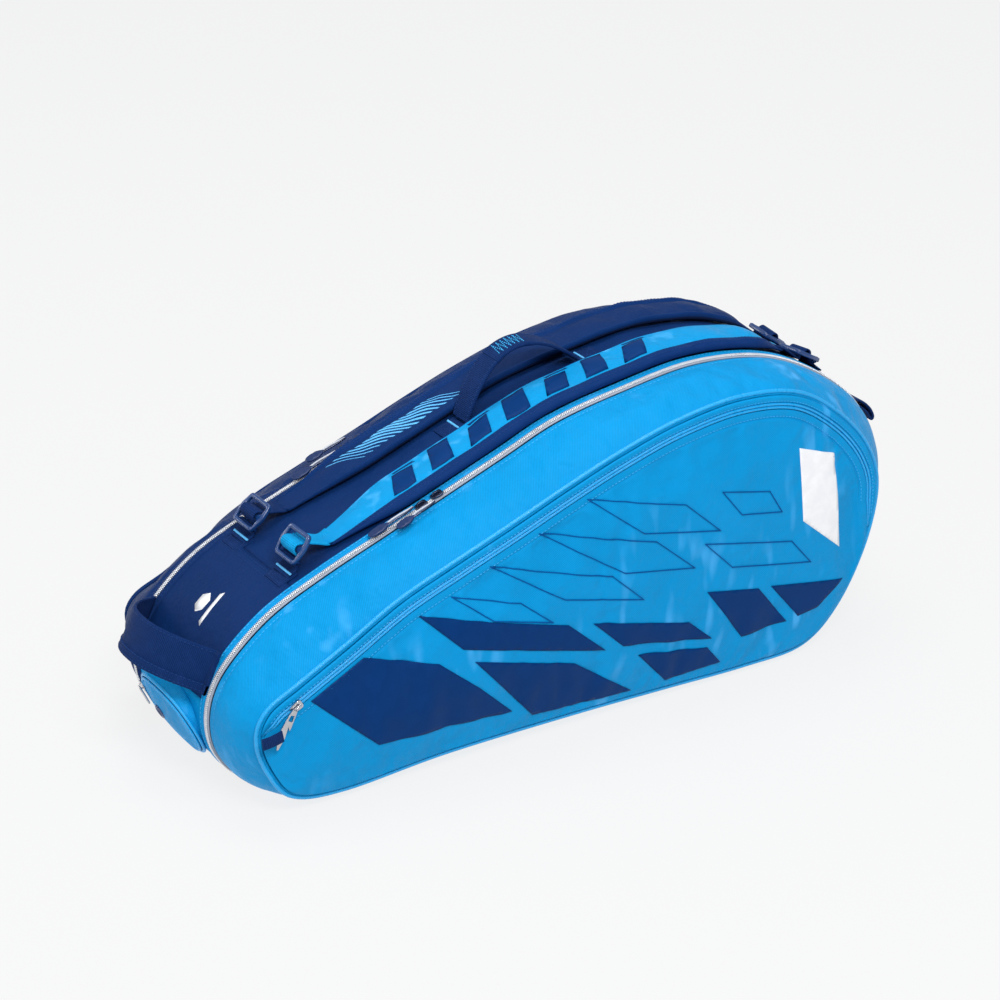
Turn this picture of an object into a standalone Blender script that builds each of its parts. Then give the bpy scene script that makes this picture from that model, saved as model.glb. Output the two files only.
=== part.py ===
"""Racket tournament bag for six rackets, standing on its base.

+X runs from the narrow grip end to the wide head end, +Z is up, and the bag is thin along Y.
A stiff spine carries the carry handle, the end handle and two backpack straps. A padded shell
is zipped to each side of it and swings down about its bottom edge. The near side is at -Y.
"""

import math

import bmesh
import bpy
from mathutils import Matrix, Vector

# Driving dimensions, in metres.
ZIP_PLANE = 0.075        # half of the spine's width: where each main zip parts
SPINE_EDGE = 0.0690      # the spine's panels end here, and the zip's inner half begins
HALF_GAP = 0.0002        # half of the slit between the two halves of a zip
GAP = 0.0004             # running gap between neighbouring pieces
SHELL_START = 0.0812     # the gusset's inner edge, past the zip's outer half
PIPING_PLANE = 0.1475    # the piping round each side panel
WALL = 0.004             # foam-backed cloth
CLOTH = 0.002            # unpadded cloth
PIPING_RADIUS = 0.0022
GUSSET_BULGE = 0.005
FAR_SAG = 0.017          # how much lower the far panel's top hangs than the near one's
FAR_TUCK = 0.012         # how much shorter the far panel is at the grip end
POCKET_RISE = 0.0105     # how far the side pocket's front bulges past its seam
FAR_RISE = POCKET_RISE + 0.0026
MIDDLE = Vector((-0.0109, 0, 0))    # the middle of the whole length, handle included
STEP = 0.5               # sampling of the outlines, in key points

# Side view of the bag, (x, z), clockwise as seen from -Y, from the middle of the base.
# SPINE_KEYS is the outline at the zips, and PANEL_KEYS is the smaller one at the piping.
SPINE_KEYS = [
    (-0.020, 0.000), (-0.200, 0.000), (-0.310, 0.001), (-0.350, 0.013), (-0.374, 0.043),
    (-0.381, 0.078), (-0.373, 0.112), (-0.350, 0.141), (-0.310, 0.172), (-0.255, 0.1970),
    (-0.190, 0.2215), (-0.125, 0.2460), (-0.060, 0.2705), (0.000, 0.2931), (0.075, 0.3075),
    (0.160, 0.317), (0.245, 0.3055), (0.315, 0.272), (0.367, 0.226), (0.3885, 0.172),
    (0.3775, 0.112), (0.340, 0.050), (0.285, 0.008), (0.200, 0.000), (0.090, 0.000),
]
PANEL_KEYS = [
    (-0.020, 0.014), (-0.165, 0.015), (-0.276, 0.0095), (-0.332, 0.019), (-0.357, 0.052),
    (-0.367, 0.088), (-0.356, 0.115), (-0.322, 0.134), (-0.272, 0.160), (-0.215, 0.191),
    (-0.155, 0.214), (-0.095, 0.236), (-0.035, 0.259), (0.025, 0.280), (0.092, 0.298),
    (0.165, 0.306), (0.235, 0.295), (0.290, 0.259), (0.328, 0.214), (0.342, 0.167),
    (0.330, 0.106), (0.298, 0.046), (0.255, 0.012), (0.185, 0.008), (0.085, 0.011),
]
KEYS = len(SPINE_KEYS)

# Where the outline's panels end, as positions along the key points.
ZIP_START, ZIP_END = 3.0, 21.5
END_WALL_TOP = 5.5
ANCHOR_SEAM = 8.5
HEAD_SEAM = 18.5

# The straight stretch of the main zips, where their sliders run.
TRACK_START, TRACK_END = Vector((-0.190, 0, 0.2215)), Vector((-0.060, 0, 0.2705))
TRACK = (TRACK_END - TRACK_START).normalized()
TRACK_UP = Vector((-TRACK.z, 0, TRACK.x))
SLIDER_LOW_X, SLIDER_HIGH_X = -0.147, -0.130
SLIDER_LIFT = 0.0021

# Straps, from the spine's centre line outwards.
STRAP_OUTER = 0.0688
STRAP_THICK = 0.011
BUCKLE_LENGTH, BUCKLE_SPAN = 0.032, 0.040
WEBBING = 0.0025

NAVY = (0.010, 0.040, 0.160)
DEEP_NAVY = (0.008, 0.022, 0.095)
SKY = (0.0, 0.31, 0.76)
SILVER = (0.62, 0.63, 0.66)
BUCKLE_BLUE = (0.012, 0.050, 0.200)


# ---------------------------------------------------------------- scene and materials

def clear_scene():
    for obj in list(bpy.data.objects):
        bpy.data.objects.remove(obj)


def material(name, colour, roughness=0.7, metallic=0.0):
    found = bpy.data.materials.get(name)
    if found:
        return found
    made = bpy.data.materials.new(name)
    made.use_nodes = True
    shader = made.node_tree.nodes["Principled BSDF"]
    shader.inputs["Base Color"].default_value = (*colour, 1)
    shader.inputs["Roughness"].default_value = roughness
    shader.inputs["Metallic"].default_value = metallic
    return made


def fabric(side):
    """The cloth of a shell: sky blue on the near side, navy on the far side."""
    return material("sky_fabric", SKY) if side < 0 else material("navy_fabric", NAVY)


def collection(name, helper=False):
    made = bpy.data.collections.new(name)
    bpy.context.scene.collection.children.link(made)
    made.hide_render = helper
    return made


def add_object(name, bm, mat, smooth=True):
    """Makes an object of the bmesh, in the bag's collection."""
    mesh = bpy.data.meshes.new(name)
    bm.to_mesh(mesh)
    bm.free()
    obj = bpy.data.objects.new(name, mesh)
    bpy.data.collections["racket_bag"].objects.link(obj)
    mesh.materials.append(mat)
    if smooth:
        mesh.shade_smooth()
        mesh.set_sharp_from_angle(angle=math.radians(40))
    return obj


# ---------------------------------------------------------------- outlines

def curve_point(keys, t):
    """A point of the smooth closed curve through the key points, at key position t."""
    i = math.floor(t)
    u = t - i
    p0, p1, p2, p3 = (Vector(keys[(i + k) % len(keys)]) for k in (-1, 0, 1, 2))
    point = 0.5 * (2 * p1 + (p2 - p0) * u + (2 * p0 - 5 * p1 + 4 * p2 - p3) * u * u
                   + (3 * p1 - p0 - 3 * p2 + p3) * u ** 3)
    return Vector((point.x, max(point.y, 0.0)))


def outward(keys, t):
    """The outline's outward unit normal at key position t, as (x, z)."""
    ahead = curve_point(keys, t + 0.05) - curve_point(keys, t - 0.05)
    return Vector((-ahead.y, ahead.x)).normalized()


def positions(start, end, step=STEP):
    count = max(1, round((end - start) / step))
    return [start + (end - start) * i / count for i in range(count + 1)]


def at(keys, t, y, lift=0.0):
    """The outline's point at key position t and depth y, raised from the outline by lift."""
    point = curve_point(keys, t) + outward(keys, t) * lift
    return Vector((point.x, y, point.y))


def smooth_step(u):
    u = min(1.0, max(0.0, u))
    return u * u * (3 - 2 * u)


# ---------------------------------------------------------------- building solids

def orient(bm, centre):
    """Turns the faces of an open surface away from the centre."""
    bm.normal_update()
    total = sum(f.normal.dot(f.calc_center_median() - centre) * f.calc_area() for f in bm.faces)
    if total < 0:
        bmesh.ops.reverse_faces(bm, faces=bm.faces[:])


def grid(bm, rows, closed):
    """Quads between rows of points: a loft between sections of equal count."""
    made = [[bm.verts.new(p) for p in row] for row in rows]
    for a, b in zip(made, made[1:]):
        count = len(a) if closed else len(a) - 1
        for i in range(count):
            j = (i + 1) % len(a)
            bm.faces.new((a[i], a[j], b[j], b[i]))
    return made


def shell(name, rows, thickness, mat, closed=False, hub=None, centre=Vector((0, 0, 0.15))):
    """A cloth shell: a lofted surface, solidified inwards. With a hub, its last row closes on it."""
    bm = bmesh.new()
    made = grid(bm, rows, closed)
    if hub is not None:
        middle = bm.verts.new(hub)
        last = made[-1]
        for i in range(len(last)):
            bm.faces.new((last[i], last[(i + 1) % len(last)], middle))
    orient(bm, centre)
    obj = add_object(name, bm, mat)
    thick = obj.modifiers.new("thickness", "SOLIDIFY")
    thick.thickness = thickness
    thick.offset = -1
    thick.use_even_offset = True
    return obj


def solid(name, rings, mat):
    """A closed solid lofted through rings of points, with flat ends."""
    bm = bmesh.new()
    made = grid(bm, rings, closed=True)
    bm.faces.new(made[0])
    bm.faces.new(made[-1])
    bmesh.ops.recalc_face_normals(bm, faces=bm.faces[:])
    return add_object(name, bm, mat)


def bar_section(centre, across, up, width, height, chamfer=0.3):
    """A flat eight-sided section: a strap's or webbing's rounded rectangle."""
    a, b = width / 2, height / 2
    c = b * chamfer * 2
    corners = [(-a, -b + c), (-a + c, -b), (a - c, -b), (a, -b + c),
               (a, b - c), (a - c, b), (-a + c, b), (-a, b - c)]
    return [centre + across * u + up * v for u, v in corners]


def box(name, size, place, mat, bevel=0.0008, cut=()):
    """A bevelled block of that size under the matrix place, with the boxes in cut removed."""
    bm = bmesh.new()
    bmesh.ops.create_cube(bm, size=1.0)
    bmesh.ops.scale(bm, vec=size, verts=bm.verts[:])
    obj = add_object(name, bm, mat)
    obj.matrix_world = place
    for i, (centre, hole) in enumerate(cut):
        tool = bmesh.new()
        bmesh.ops.create_cube(tool, size=1.0)
        bmesh.ops.scale(tool, vec=hole, verts=tool.verts[:])
        bmesh.ops.translate(tool, vec=centre, verts=tool.verts[:])
        cutter = add_object(f"{name}_window_{i}", tool, mat)
        cutter.matrix_world = place
        bpy.data.collections["racket_bag"].objects.unlink(cutter)
        bpy.data.collections["cutters"].objects.link(cutter)
        cutter.hide_render = True
        cutter.display_type = "WIRE"
        window = obj.modifiers.new(f"window_{i}", "BOOLEAN")
        window.operation = "DIFFERENCE"
        window.object = cutter
    if bevel:
        rounding = obj.modifiers.new("rounding", "BEVEL")
        rounding.width = bevel
        rounding.segments = 1
        rounding.limit_method = "ANGLE"
        rounding.angle_limit = math.radians(40)
    return obj


def frame_at(origin, along, up):
    """A matrix with its X axis along, its Z axis near up and its Y axis across."""
    x = along.normalized()
    y = up.cross(x).normalized()
    z = x.cross(y)
    return Matrix.Translation(origin) @ Matrix((x, y, z)).transposed().to_4x4()


# ---------------------------------------------------------------- spine

def build_spine():
    navy, sky = material("navy_fabric", NAVY), material("sky_fabric", SKY)
    panels = [
        ("spine_top_panel", ANCHOR_SEAM, HEAD_SEAM, SPINE_EDGE, navy),
        ("grip_end_top_panel", END_WALL_TOP, ANCHOR_SEAM, SPINE_EDGE, navy),
        ("grip_end_wall", ZIP_START, END_WALL_TOP, SPINE_EDGE, sky),
        ("head_end_wall", HEAD_SEAM, ZIP_END, SPINE_EDGE, navy),
        ("base_panel", ZIP_END, ZIP_START + KEYS, ZIP_PLANE - HALF_GAP,
         material("base_fabric", DEEP_NAVY)),
    ]
    for name, start, end, half, mat in panels:
        ends = positions(start, end)
        trim = 0.02
        ends[0] += trim
        ends[-1] -= trim
        rows = [[at(SPINE_KEYS, t, y) for t in ends] for y in (-half, half)]
        shell(name, rows, WALL, mat)

    for side, word in ((-1, "near"), (1, "far")):
        edges = (SPINE_EDGE + GAP, ZIP_PLANE - HALF_GAP)
        zip_half(f"{word}_zip_spine_half", side, edges, SPINE_KEYS)

    build_divider()


def zip_half(name, side, edges, keys):
    """Half of a main zip: its tape and coil, from one end of the bag round over the top."""
    rows = [[at(keys, t, side * y) for t in positions(ZIP_START + 0.02, ZIP_END - 0.02)]
            for y in edges]
    shell(name, rows, 0.003, material("silver_zip", SILVER, 0.35, 0.4))


def build_divider():
    """The stiffened board between the two main compartments."""
    ring = [at(SPINE_KEYS, t, 0, -WALL - 0.0012) for t in positions(0, KEYS)[:-1]]
    curve = polyline("centre_divider", [(p.x, p.z, 0) for p in ring])
    curve.dimensions = "2D"
    curve.fill_mode = "BOTH"
    curve.extrude = 0.0015
    curve.materials.append(material("lining", (0.03, 0.04, 0.07)))
    bpy.data.objects["centre_divider"].matrix_world = Matrix.Rotation(math.pi / 2, 4, "X")


# ---------------------------------------------------------------- side shells

def panel_keys(side):
    """The outline at the piping: the far panel is a little lower and shorter than the near one."""
    if side < 0:
        return PANEL_KEYS
    return [(x + FAR_TUCK * smooth_step((-0.2 - x) / 0.15),
             z - FAR_SAG * smooth_step((z - 0.05) / 0.1)) for x, z in PANEL_KEYS]


def build_shell(side, word):
    mat = fabric(side)
    keys = panel_keys(side)
    ring = positions(0, KEYS)[:-1]
    seam = PIPING_PLANE - PIPING_RADIUS - GAP
    middle = (SHELL_START + seam) / 2

    def between(t):
        a, b = at(SPINE_KEYS, t, 0, GUSSET_BULGE), at(keys, t, 0, GUSSET_BULGE)
        point = (a + b) / 2
        return Vector((point.x, side * middle, max(point.z, 0.001)))

    rows = [
        [at(SPINE_KEYS, t, side * SHELL_START) for t in ring],
        [at(SPINE_KEYS, t, side * (SHELL_START + 0.004)) for t in ring],
        [between(t) for t in ring],
        [at(keys, t, side * seam) for t in ring],
    ]
    shell(f"{word}_gusset", rows, WALL, mat, closed=True)

    edges = (ZIP_PLANE + HALF_GAP, SHELL_START - GAP)
    zip_half(f"{word}_zip_shell_half", side, edges, SPINE_KEYS)
    fold = [[at(SPINE_KEYS, t, side * y) for t in positions(ZIP_END + 0.02, KEYS + 2.98)]
            for y in edges]
    shell(f"{word}_bottom_fold", fold, 0.003, material("base_fabric", DEEP_NAVY))

    curve = polyline(f"{word}_piping", [at(keys, t, side * PIPING_PLANE) for t in ring])
    curve.dimensions = "3D"
    curve.bevel_depth = PIPING_RADIUS
    curve.bevel_resolution = 1
    curve.materials.append(mat)


def polyline(name, ring):
    """A curve object on a closed ring of points. Returns its curve."""
    curve = bpy.data.curves.new(name, "CURVE")
    spline = curve.splines.new("POLY")
    spline.points.add(len(ring) - 1)
    for point, p in zip(spline.points, ring):
        point.co = (*p, 1)
    spline.use_cyclic_u = True
    obj = bpy.data.objects.new(name, curve)
    bpy.data.collections["racket_bag"].objects.link(obj)
    return curve


PANEL_PLANE = PIPING_PLANE - PIPING_RADIUS


def dome_rows(keys, side, plane, rise, inset):
    """Rings that bulge from a flat seam towards the panel's middle, and the middle point."""
    hub = Vector((0.0, side * (plane + rise), 0.135))
    rows = []
    for share in (1.0, 0.9, 0.72, 0.45, 0.18):
        row = []
        for t in positions(0, KEYS)[:-1]:
            edge = at(keys, t, 0, -inset(t))
            x, z = hub.x + (edge.x - hub.x) * share, hub.z + (edge.z - hub.z) * share
            row.append(Vector((x, side * (plane + rise * (1 - share ** 2.6)), z)))
        rows.append(row)
    return rows, hub


def build_near_panel():
    """The flat foam panel inside the near piping, which the side pocket is sewn over."""
    bm = bmesh.new()
    ring = [at(PANEL_KEYS, t, -PANEL_PLANE, -0.0032) for t in positions(0, KEYS)[:-1]]
    face = bm.faces.new([bm.verts.new(p) for p in ring])
    push = bmesh.ops.extrude_face_region(bm, geom=[face])
    moved = [v for v in push["geom"] if isinstance(v, bmesh.types.BMVert)]
    bmesh.ops.translate(bm, vec=(0, -WALL, 0), verts=moved)
    bmesh.ops.recalc_face_normals(bm, faces=bm.faces[:])
    add_object("near_side_panel", bm, fabric(-1))


def build_far_panel():
    """The far side has no pocket: one padded panel that bulges as far as the near side does."""
    rows, hub = dome_rows(panel_keys(1), 1, PANEL_PLANE + WALL, FAR_RISE, lambda t: 0.0042)
    shell("far_side_panel", rows, WALL, fabric(1), closed=True, hub=hub,
          centre=Vector((0, 0, 0.14)))


POCKET_SEAM = PANEL_PLANE + WALL + GAP + CLOTH    # the outer face of what is sewn on the panel
POCKET_ZIP_ENDS = (5.9, 19.0)
POCKET_ZIP_INSETS = (0.0108, 0.0168)
POCKET_ZIP_INSET = 0.0138


def front_inset(t):
    """How far inside the piping the side pocket's front ends: more along its zip."""
    edge, top = 0.0042, 0.0174
    start, end = POCKET_ZIP_ENDS
    rise = smooth_step((t - start + 1.0) / 0.95) * smooth_step((end + 1.0 - t) / 0.95)
    return edge + (top - edge) * rise


def build_side_pocket():
    """The pocket over the near panel: its front, the band above its zip, and the zip."""
    rows, hub = dome_rows(PANEL_KEYS, -1, POCKET_SEAM, POCKET_RISE, front_inset)
    shell("side_pocket_front", rows, CLOTH, fabric(-1), closed=True, hub=hub,
          centre=Vector((0, 0, 0.14)))
    for name, insets, coat in (
        ("side_pocket_band", (0.0036, 0.0104), fabric(-1)),
        ("side_pocket_zip", POCKET_ZIP_INSETS, material("zip_tape", SKY)),
    ):
        strip_rows = [[at(PANEL_KEYS, t, -POCKET_SEAM, -inset)
                       for t in positions(*POCKET_ZIP_ENDS)] for inset in insets]
        shell(name, strip_rows, CLOTH, coat)

    steel = material("steel", SILVER, 0.3, 1)
    here, ahead = (at(PANEL_KEYS, k, -POCKET_SEAM, -POCKET_ZIP_INSET) for k in (6.7, 7.2))
    along = (ahead - here).normalized()
    out = Vector((0, -1, 0))
    box("side_pocket_slider", (0.0120, 0.0062, 0.0040),
        frame_at(here + out * 0.0029, along, out), steel, 0.0010)
    down = Vector((-0.53, 0, -0.85)).normalized()
    top = here + out * 0.0070 - along * 0.0050
    across = out.cross(down).normalized()
    rings = [bar_section(top + down * d, across, out, w, 0.0020)
             for d, w in ((0.0, 0.006), (0.014, 0.009), (0.031, 0.007), (0.038, 0.003))]
    solid("side_pocket_pull", rings, steel)
    place = frame_at(top + Vector((-0.0245, 0, -0.0209)) + out * 0.0027,
                     Vector((0.988, 0, 0.154)), out)
    box("side_pocket_garage", (0.0206, 0.0118, 0.0020), place, material("pull_tab", NAVY),
        0.0004)


# ---------------------------------------------------------------- end pocket

POCKET_LEAN = math.radians(24)
POCKET_OUT = Vector((-math.cos(POCKET_LEAN), 0, -math.sin(POCKET_LEAN)))
POCKET_UP = Vector((-math.sin(POCKET_LEAN), 0, math.cos(POCKET_LEAN)))
POCKET_CENTRE = Vector((-0.3830, -0.008, 0.0570))
POCKET_HALF_WIDTH, POCKET_HALF_HEIGHT = 0.0520, 0.0385
POCKET_DOME = 0.0060


def pocket_point(a, scale, out):
    """A point at angle a of a rounded D-shaped ring, off the pocket's rim by out."""
    c, s = math.cos(a), math.sin(a)
    y = POCKET_HALF_WIDTH * scale * math.copysign(abs(c) ** 0.72, c)
    h = POCKET_HALF_HEIGHT * scale * math.copysign(abs(s) ** 0.80, s)
    narrowing = 1 - 0.10 * max(0.0, h / POCKET_HALF_HEIGHT)
    return POCKET_CENTRE + Vector((0, y * narrowing, 0)) + POCKET_UP * h + POCKET_OUT * out


def pocket_ring(scale, out, count=24):
    return [pocket_point(2 * math.pi * i / count, scale, out) for i in range(count)]


def wall_x(z):
    """Where the grip end's wall is at height z."""
    low, high = 2.4, 6.4
    for _ in range(30):
        t = (low + high) / 2
        low, high = (t, high) if curve_point(SPINE_KEYS, t).y < z else (low, t)
    return curve_point(SPINE_KEYS, low).x


def build_end_pocket():
    sky = material("sky_fabric", SKY)
    foot = []
    for p in pocket_ring(1.0, 0):
        wall = min(wall_x(p.z - 2 * CLOTH), wall_x(p.z), wall_x(p.z + 2 * CLOTH))
        foot.append(Vector((wall - 0.0008, p.y, p.z)))
    shell("end_pocket_gusset", [foot, pocket_ring(0.97, 0.0)], CLOTH, sky, closed=True,
          centre=POCKET_CENTRE)
    lid = GAP + CLOTH
    rows = [pocket_ring(s, lid + POCKET_DOME * (1 - (s / 0.93) ** 2))
            for s in (0.93, 0.78, 0.55, 0.25)]
    hub = POCKET_CENTRE + POCKET_OUT * (lid + POCKET_DOME)
    shell("end_pocket_flap", rows, CLOTH, sky, closed=True, hub=hub, centre=POCKET_CENTRE)

    zip_out = GAP + 0.0010
    coil = [pocket_ring(s, zip_out)[0:13] for s in (0.945, 0.988)]
    shell("end_pocket_zip", coil, 0.0010, material("zip_tape", SKY), centre=POCKET_CENTRE)

    centre = POCKET_CENTRE + Vector((0, 0.012, 0)) + POCKET_OUT * (lid + POCKET_DOME + 0.0003)
    rings = []
    for radius, out in ((0.0078, 0.0), (0.0078, 0.0016), (0.0044, 0.0016), (0.0044, 0.0)):
        rings.append([centre + POCKET_OUT * out
                      + (Vector((0, math.cos(a), 0)) + POCKET_UP * math.sin(a)) * radius
                      for a in (2 * math.pi * i / 16 for i in range(16))])
    bm = bmesh.new()
    grid(bm, rings + rings[:1], closed=True)
    bmesh.ops.remove_doubles(bm, verts=bm.verts[:], dist=0.00001)
    bmesh.ops.recalc_face_normals(bm, faces=bm.faces[:])
    add_object("end_pocket_eyelet", bm, material("buckle_plastic", BUCKLE_BLUE, 0.4))

    steel = material("steel", SILVER, 0.3, 1)
    park = pocket_point(math.radians(14), 0.962, lid + 0.0012)
    box("end_pocket_slider", (0.0100, 0.0064, 0.0034),
        frame_at(park + POCKET_OUT * 0.0010, POCKET_UP, POCKET_OUT), steel)
    hang = -POCKET_UP
    box("end_pocket_pull", (0.0230, 0.0060, 0.0018),
        frame_at(park + POCKET_OUT * 0.0045 + hang * 0.0110, hang, POCKET_OUT), steel)


# ---------------------------------------------------------------- straps and handles

# Each strap: its inner edge, its pad's ends and its buckles' places along the outline, and
# each buckle's lift, tilt and roll in degrees.
STRAPS = {
    -1: {"inner": 0.0138, "pad": (9.35, 16.60), "grip": (8.94, 0.0228, -30, 4),
         "head": (16.98, 0.0092, -3, -6), "head_anchor": (17.20, 17.75)},
    1: {"inner": 0.0205, "pad": (9.35, 16.95), "grip": (8.96, 0.0195, -20, 4),
        "head": (17.36, 0.0108, -5, 4), "head_anchor": (17.56, 18.10)},
}
# Where a strap's webbing ends, (x, z) in its buckle's own frame.
WEBBING_ENDS = {"grip": (0.0035, -0.0062), "head": (-0.0180, 0.0)}
STRAP_STATIONS = 18


def strap_centre(side):
    return side * (STRAPS[side]["inner"] + STRAP_OUTER) / 2


def strap_half_width(side, u):
    """Half of a strap's width along its length, u from 0 at the grip end to 1 at the head end."""
    full = (STRAP_OUTER - STRAPS[side]["inner"]) / 2
    tip = 0.0130
    return tip + (full - tip) * smooth_step(u / 0.17) * smooth_step((1 - u) / 0.10)


def strap_thickness(u):
    return STRAP_THICK * (0.40 + 0.60 * smooth_step(u / 0.15) * smooth_step((1 - u) / 0.10))


def spine_frame(t, lift):
    """A point above the spine at key position t, with the directions along it and away from it."""
    up2 = outward(SPINE_KEYS, t)
    up = Vector((up2.x, 0, up2.y))
    along = Vector((up.z, 0, -up.x))
    return at(SPINE_KEYS, t, 0, lift), along, up


ACROSS = Vector((0, 1, 0))


def build_strap(side, word):
    coat = material("sky_strap", SKY) if side < 0 else material("navy_strap", NAVY)
    middle = ACROSS * strap_centre(side)
    start, end = STRAPS[side]["pad"]
    rings = []
    for i in range(STRAP_STATIONS + 1):
        u = i / STRAP_STATIONS
        thick = strap_thickness(u)
        point, _, up = spine_frame(start + (end - start) * u, 0.0036 + thick / 2)
        rings.append(bar_section(point + middle, ACROSS, up,
                                 2 * strap_half_width(side, u), thick, 0.34))
    solid(f"{word}_strap_pad", rings, coat)

    plastic = material("buckle_plastic", BUCKLE_BLUE, 0.4)
    webbing = material("navy_webbing", NAVY)
    for place_name, tip, toward in (("grip", start, -1), ("head", end, 1)):
        t, lift, tilt, roll = STRAPS[side][place_name]
        point, along, up = spine_frame(t, lift)
        turn = Matrix.Rotation(math.radians(tilt), 3, "Y")
        place = frame_at(point + middle, turn @ along, turn @ up)
        place = place @ Matrix.Rotation(math.radians(roll), 4, "X")
        windows = [((x, 0, 0), (0.0090, BUCKLE_SPAN - 0.010, 0.02)) for x in (-0.0074, 0.0070)]
        box(f"{word}_{place_name}_buckle", (BUCKLE_LENGTH, BUCKLE_SPAN, 0.0046), place, plastic,
            cut=windows)
        pad, _, _ = spine_frame(tip, 0.0036 + strap_thickness(0) / 2)
        first = pad + middle + along * toward * GAP * 2
        reach, drop = WEBBING_ENDS[place_name]
        last = place @ Vector((reach, 0, drop))
        link(f"{word}_{place_name}_webbing", first, last, webbing)

    strip(f"{word}_grip_anchor", (8.50, 8.74), strap_centre(side), 0.030, webbing, step=0.12)
    strip(f"{word}_head_anchor", STRAPS[side]["head_anchor"], strap_centre(side), 0.026, webbing)


def link(name, first, last, mat):
    """The short run of webbing between a pad and its buckle."""
    along = (last - first).normalized()
    up = along.cross(ACROSS) if along.x < 0 else ACROSS.cross(along) * -1
    rings = [bar_section(first.lerp(last, u), ACROSS, up, 0.0240, 0.0024) for u in (0, 0.5, 1)]
    solid(name, rings, mat)


def strip(name, ends, centre_y, width, mat, lift=0.0005, thick=WEBBING, step=0.18):
    """A band of webbing lying on the spine."""
    rings = []
    for t in positions(*ends, step):
        point, _, up = spine_frame(t, lift + thick / 2)
        rings.append(bar_section(point + ACROSS * centre_y, ACROSS, up, width, thick))
    solid(name, rings, mat)


HANDLE_Y = 0.004
HANDLE_WIDTH, HANDLE_THICK = 0.028, 0.0034
HANDLE_GRIP_FOOT, HANDLE_HEAD_FOOT = 12.05, 14.05
HANDLE_HEIGHT = 0.054


def build_carry_handle():
    """The webbing loop between the straps: two sewn feet and the free arch."""
    webbing = material("navy_webbing", NAVY)
    strip("carry_handle_grip_foot", (HANDLE_GRIP_FOOT - 0.34, HANDLE_GRIP_FOOT), HANDLE_Y,
          HANDLE_WIDTH, webbing)
    strip("carry_handle_head_foot", (HANDLE_HEAD_FOOT, HANDLE_HEAD_FOOT + 0.28), HANDLE_Y,
          HANDLE_WIDTH, webbing)
    start, _, _ = spine_frame(HANDLE_GRIP_FOOT + 0.02, 0)
    end, _, _ = spine_frame(HANDLE_HEAD_FOOT - 0.02, 0)
    along = (end - start).normalized()
    rise = Vector((-along.z, 0, along.x))
    first, last, count = 0.10, 0.90, 14
    rings = [handle_section(start, end, rise, first + (last - first) * i / count)
             for i in range(count + 1)]
    solid("carry_handle_loop", rings, webbing)


def handle_point(start, end, rise, u):
    lift = HANDLE_HEIGHT * math.sin(math.pi * u) ** 0.8 + 0.002
    return start.lerp(end, u) + rise * lift + ACROSS * HANDLE_Y


def handle_section(start, end, rise, u):
    point = handle_point(start, end, rise, u)
    ahead = (handle_point(start, end, rise, u + 0.01)
             - handle_point(start, end, rise, u - 0.01)).normalized()
    up = Vector((-ahead.z, 0, ahead.x))
    return bar_section(point, ACROSS, up, HANDLE_WIDTH, HANDLE_THICK)


END_HANDLE_T = 6.30
END_HANDLE_WIDTH, END_HANDLE_THICK = 0.044, 0.004
END_HANDLE_BULGE, END_HANDLE_ROOT = 0.047, 0.0640


def build_end_handle():
    """The wide grab handle across the grip end: two sewn roots and the free loop."""
    webbing = material("navy_webbing", NAVY)
    point, along, up = spine_frame(END_HANDLE_T, 0)
    for side, word in ((-1, "near"), (1, "far")):
        rings = [bar_section(point + ACROSS * side * y + up * 0.0030, along, up,
                             END_HANDLE_WIDTH, END_HANDLE_THICK)
                 for y in (0.0570, 0.0685)]
        solid(f"end_handle_{word}_root", rings, webbing)
    out = (up + Vector((-0.35, 0, 0))).normalized()
    count = 14
    rings = [end_handle_section(point, along, out, -0.050 + 0.100 * i / count)
             for i in range(count + 1)]
    solid("end_handle_loop", rings, webbing)


def end_handle_bulge(y):
    return END_HANDLE_BULGE * max(0.0, 1 - (abs(y) / END_HANDLE_ROOT) ** 2.4) + 0.003


def end_handle_section(point, along, out, y):
    centre = point + ACROSS * y + out * end_handle_bulge(y)
    slope = (end_handle_bulge(y + 0.001) - end_handle_bulge(y - 0.001)) / 0.002
    ahead = (ACROSS + out * slope).normalized()
    across = (along - out * along.dot(out)).normalized()
    return bar_section(centre, across, across.cross(ahead).normalized(), END_HANDLE_WIDTH,
                       END_HANDLE_THICK)


def build_head_tab():
    """A folded webbing tab sewn to the head end's top, its free end standing off."""
    rings = []
    for t, lift, thick in ((18.00, 0.0021, 0.0030), (18.12, 0.0056, 0.0036),
                           (18.28, 0.0108, 0.0048), (18.46, 0.0152, 0.0060),
                           (18.62, 0.01571, 0.0060)):
        point, _, up = spine_frame(t, lift)
        rings.append(bar_section(point - ACROSS * 0.052, ACROSS, up, 0.028, thick))
    solid("head_end_tab", rings, material("navy_webbing", NAVY))


# ---------------------------------------------------------------- sliders and pulls

def track_point(x, y, lift):
    """A point over the straight stretch of a main zip."""
    share = (x - TRACK_START.x) / TRACK.x
    return TRACK_START + TRACK * share + ACROSS * y + TRACK_UP * lift


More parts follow.
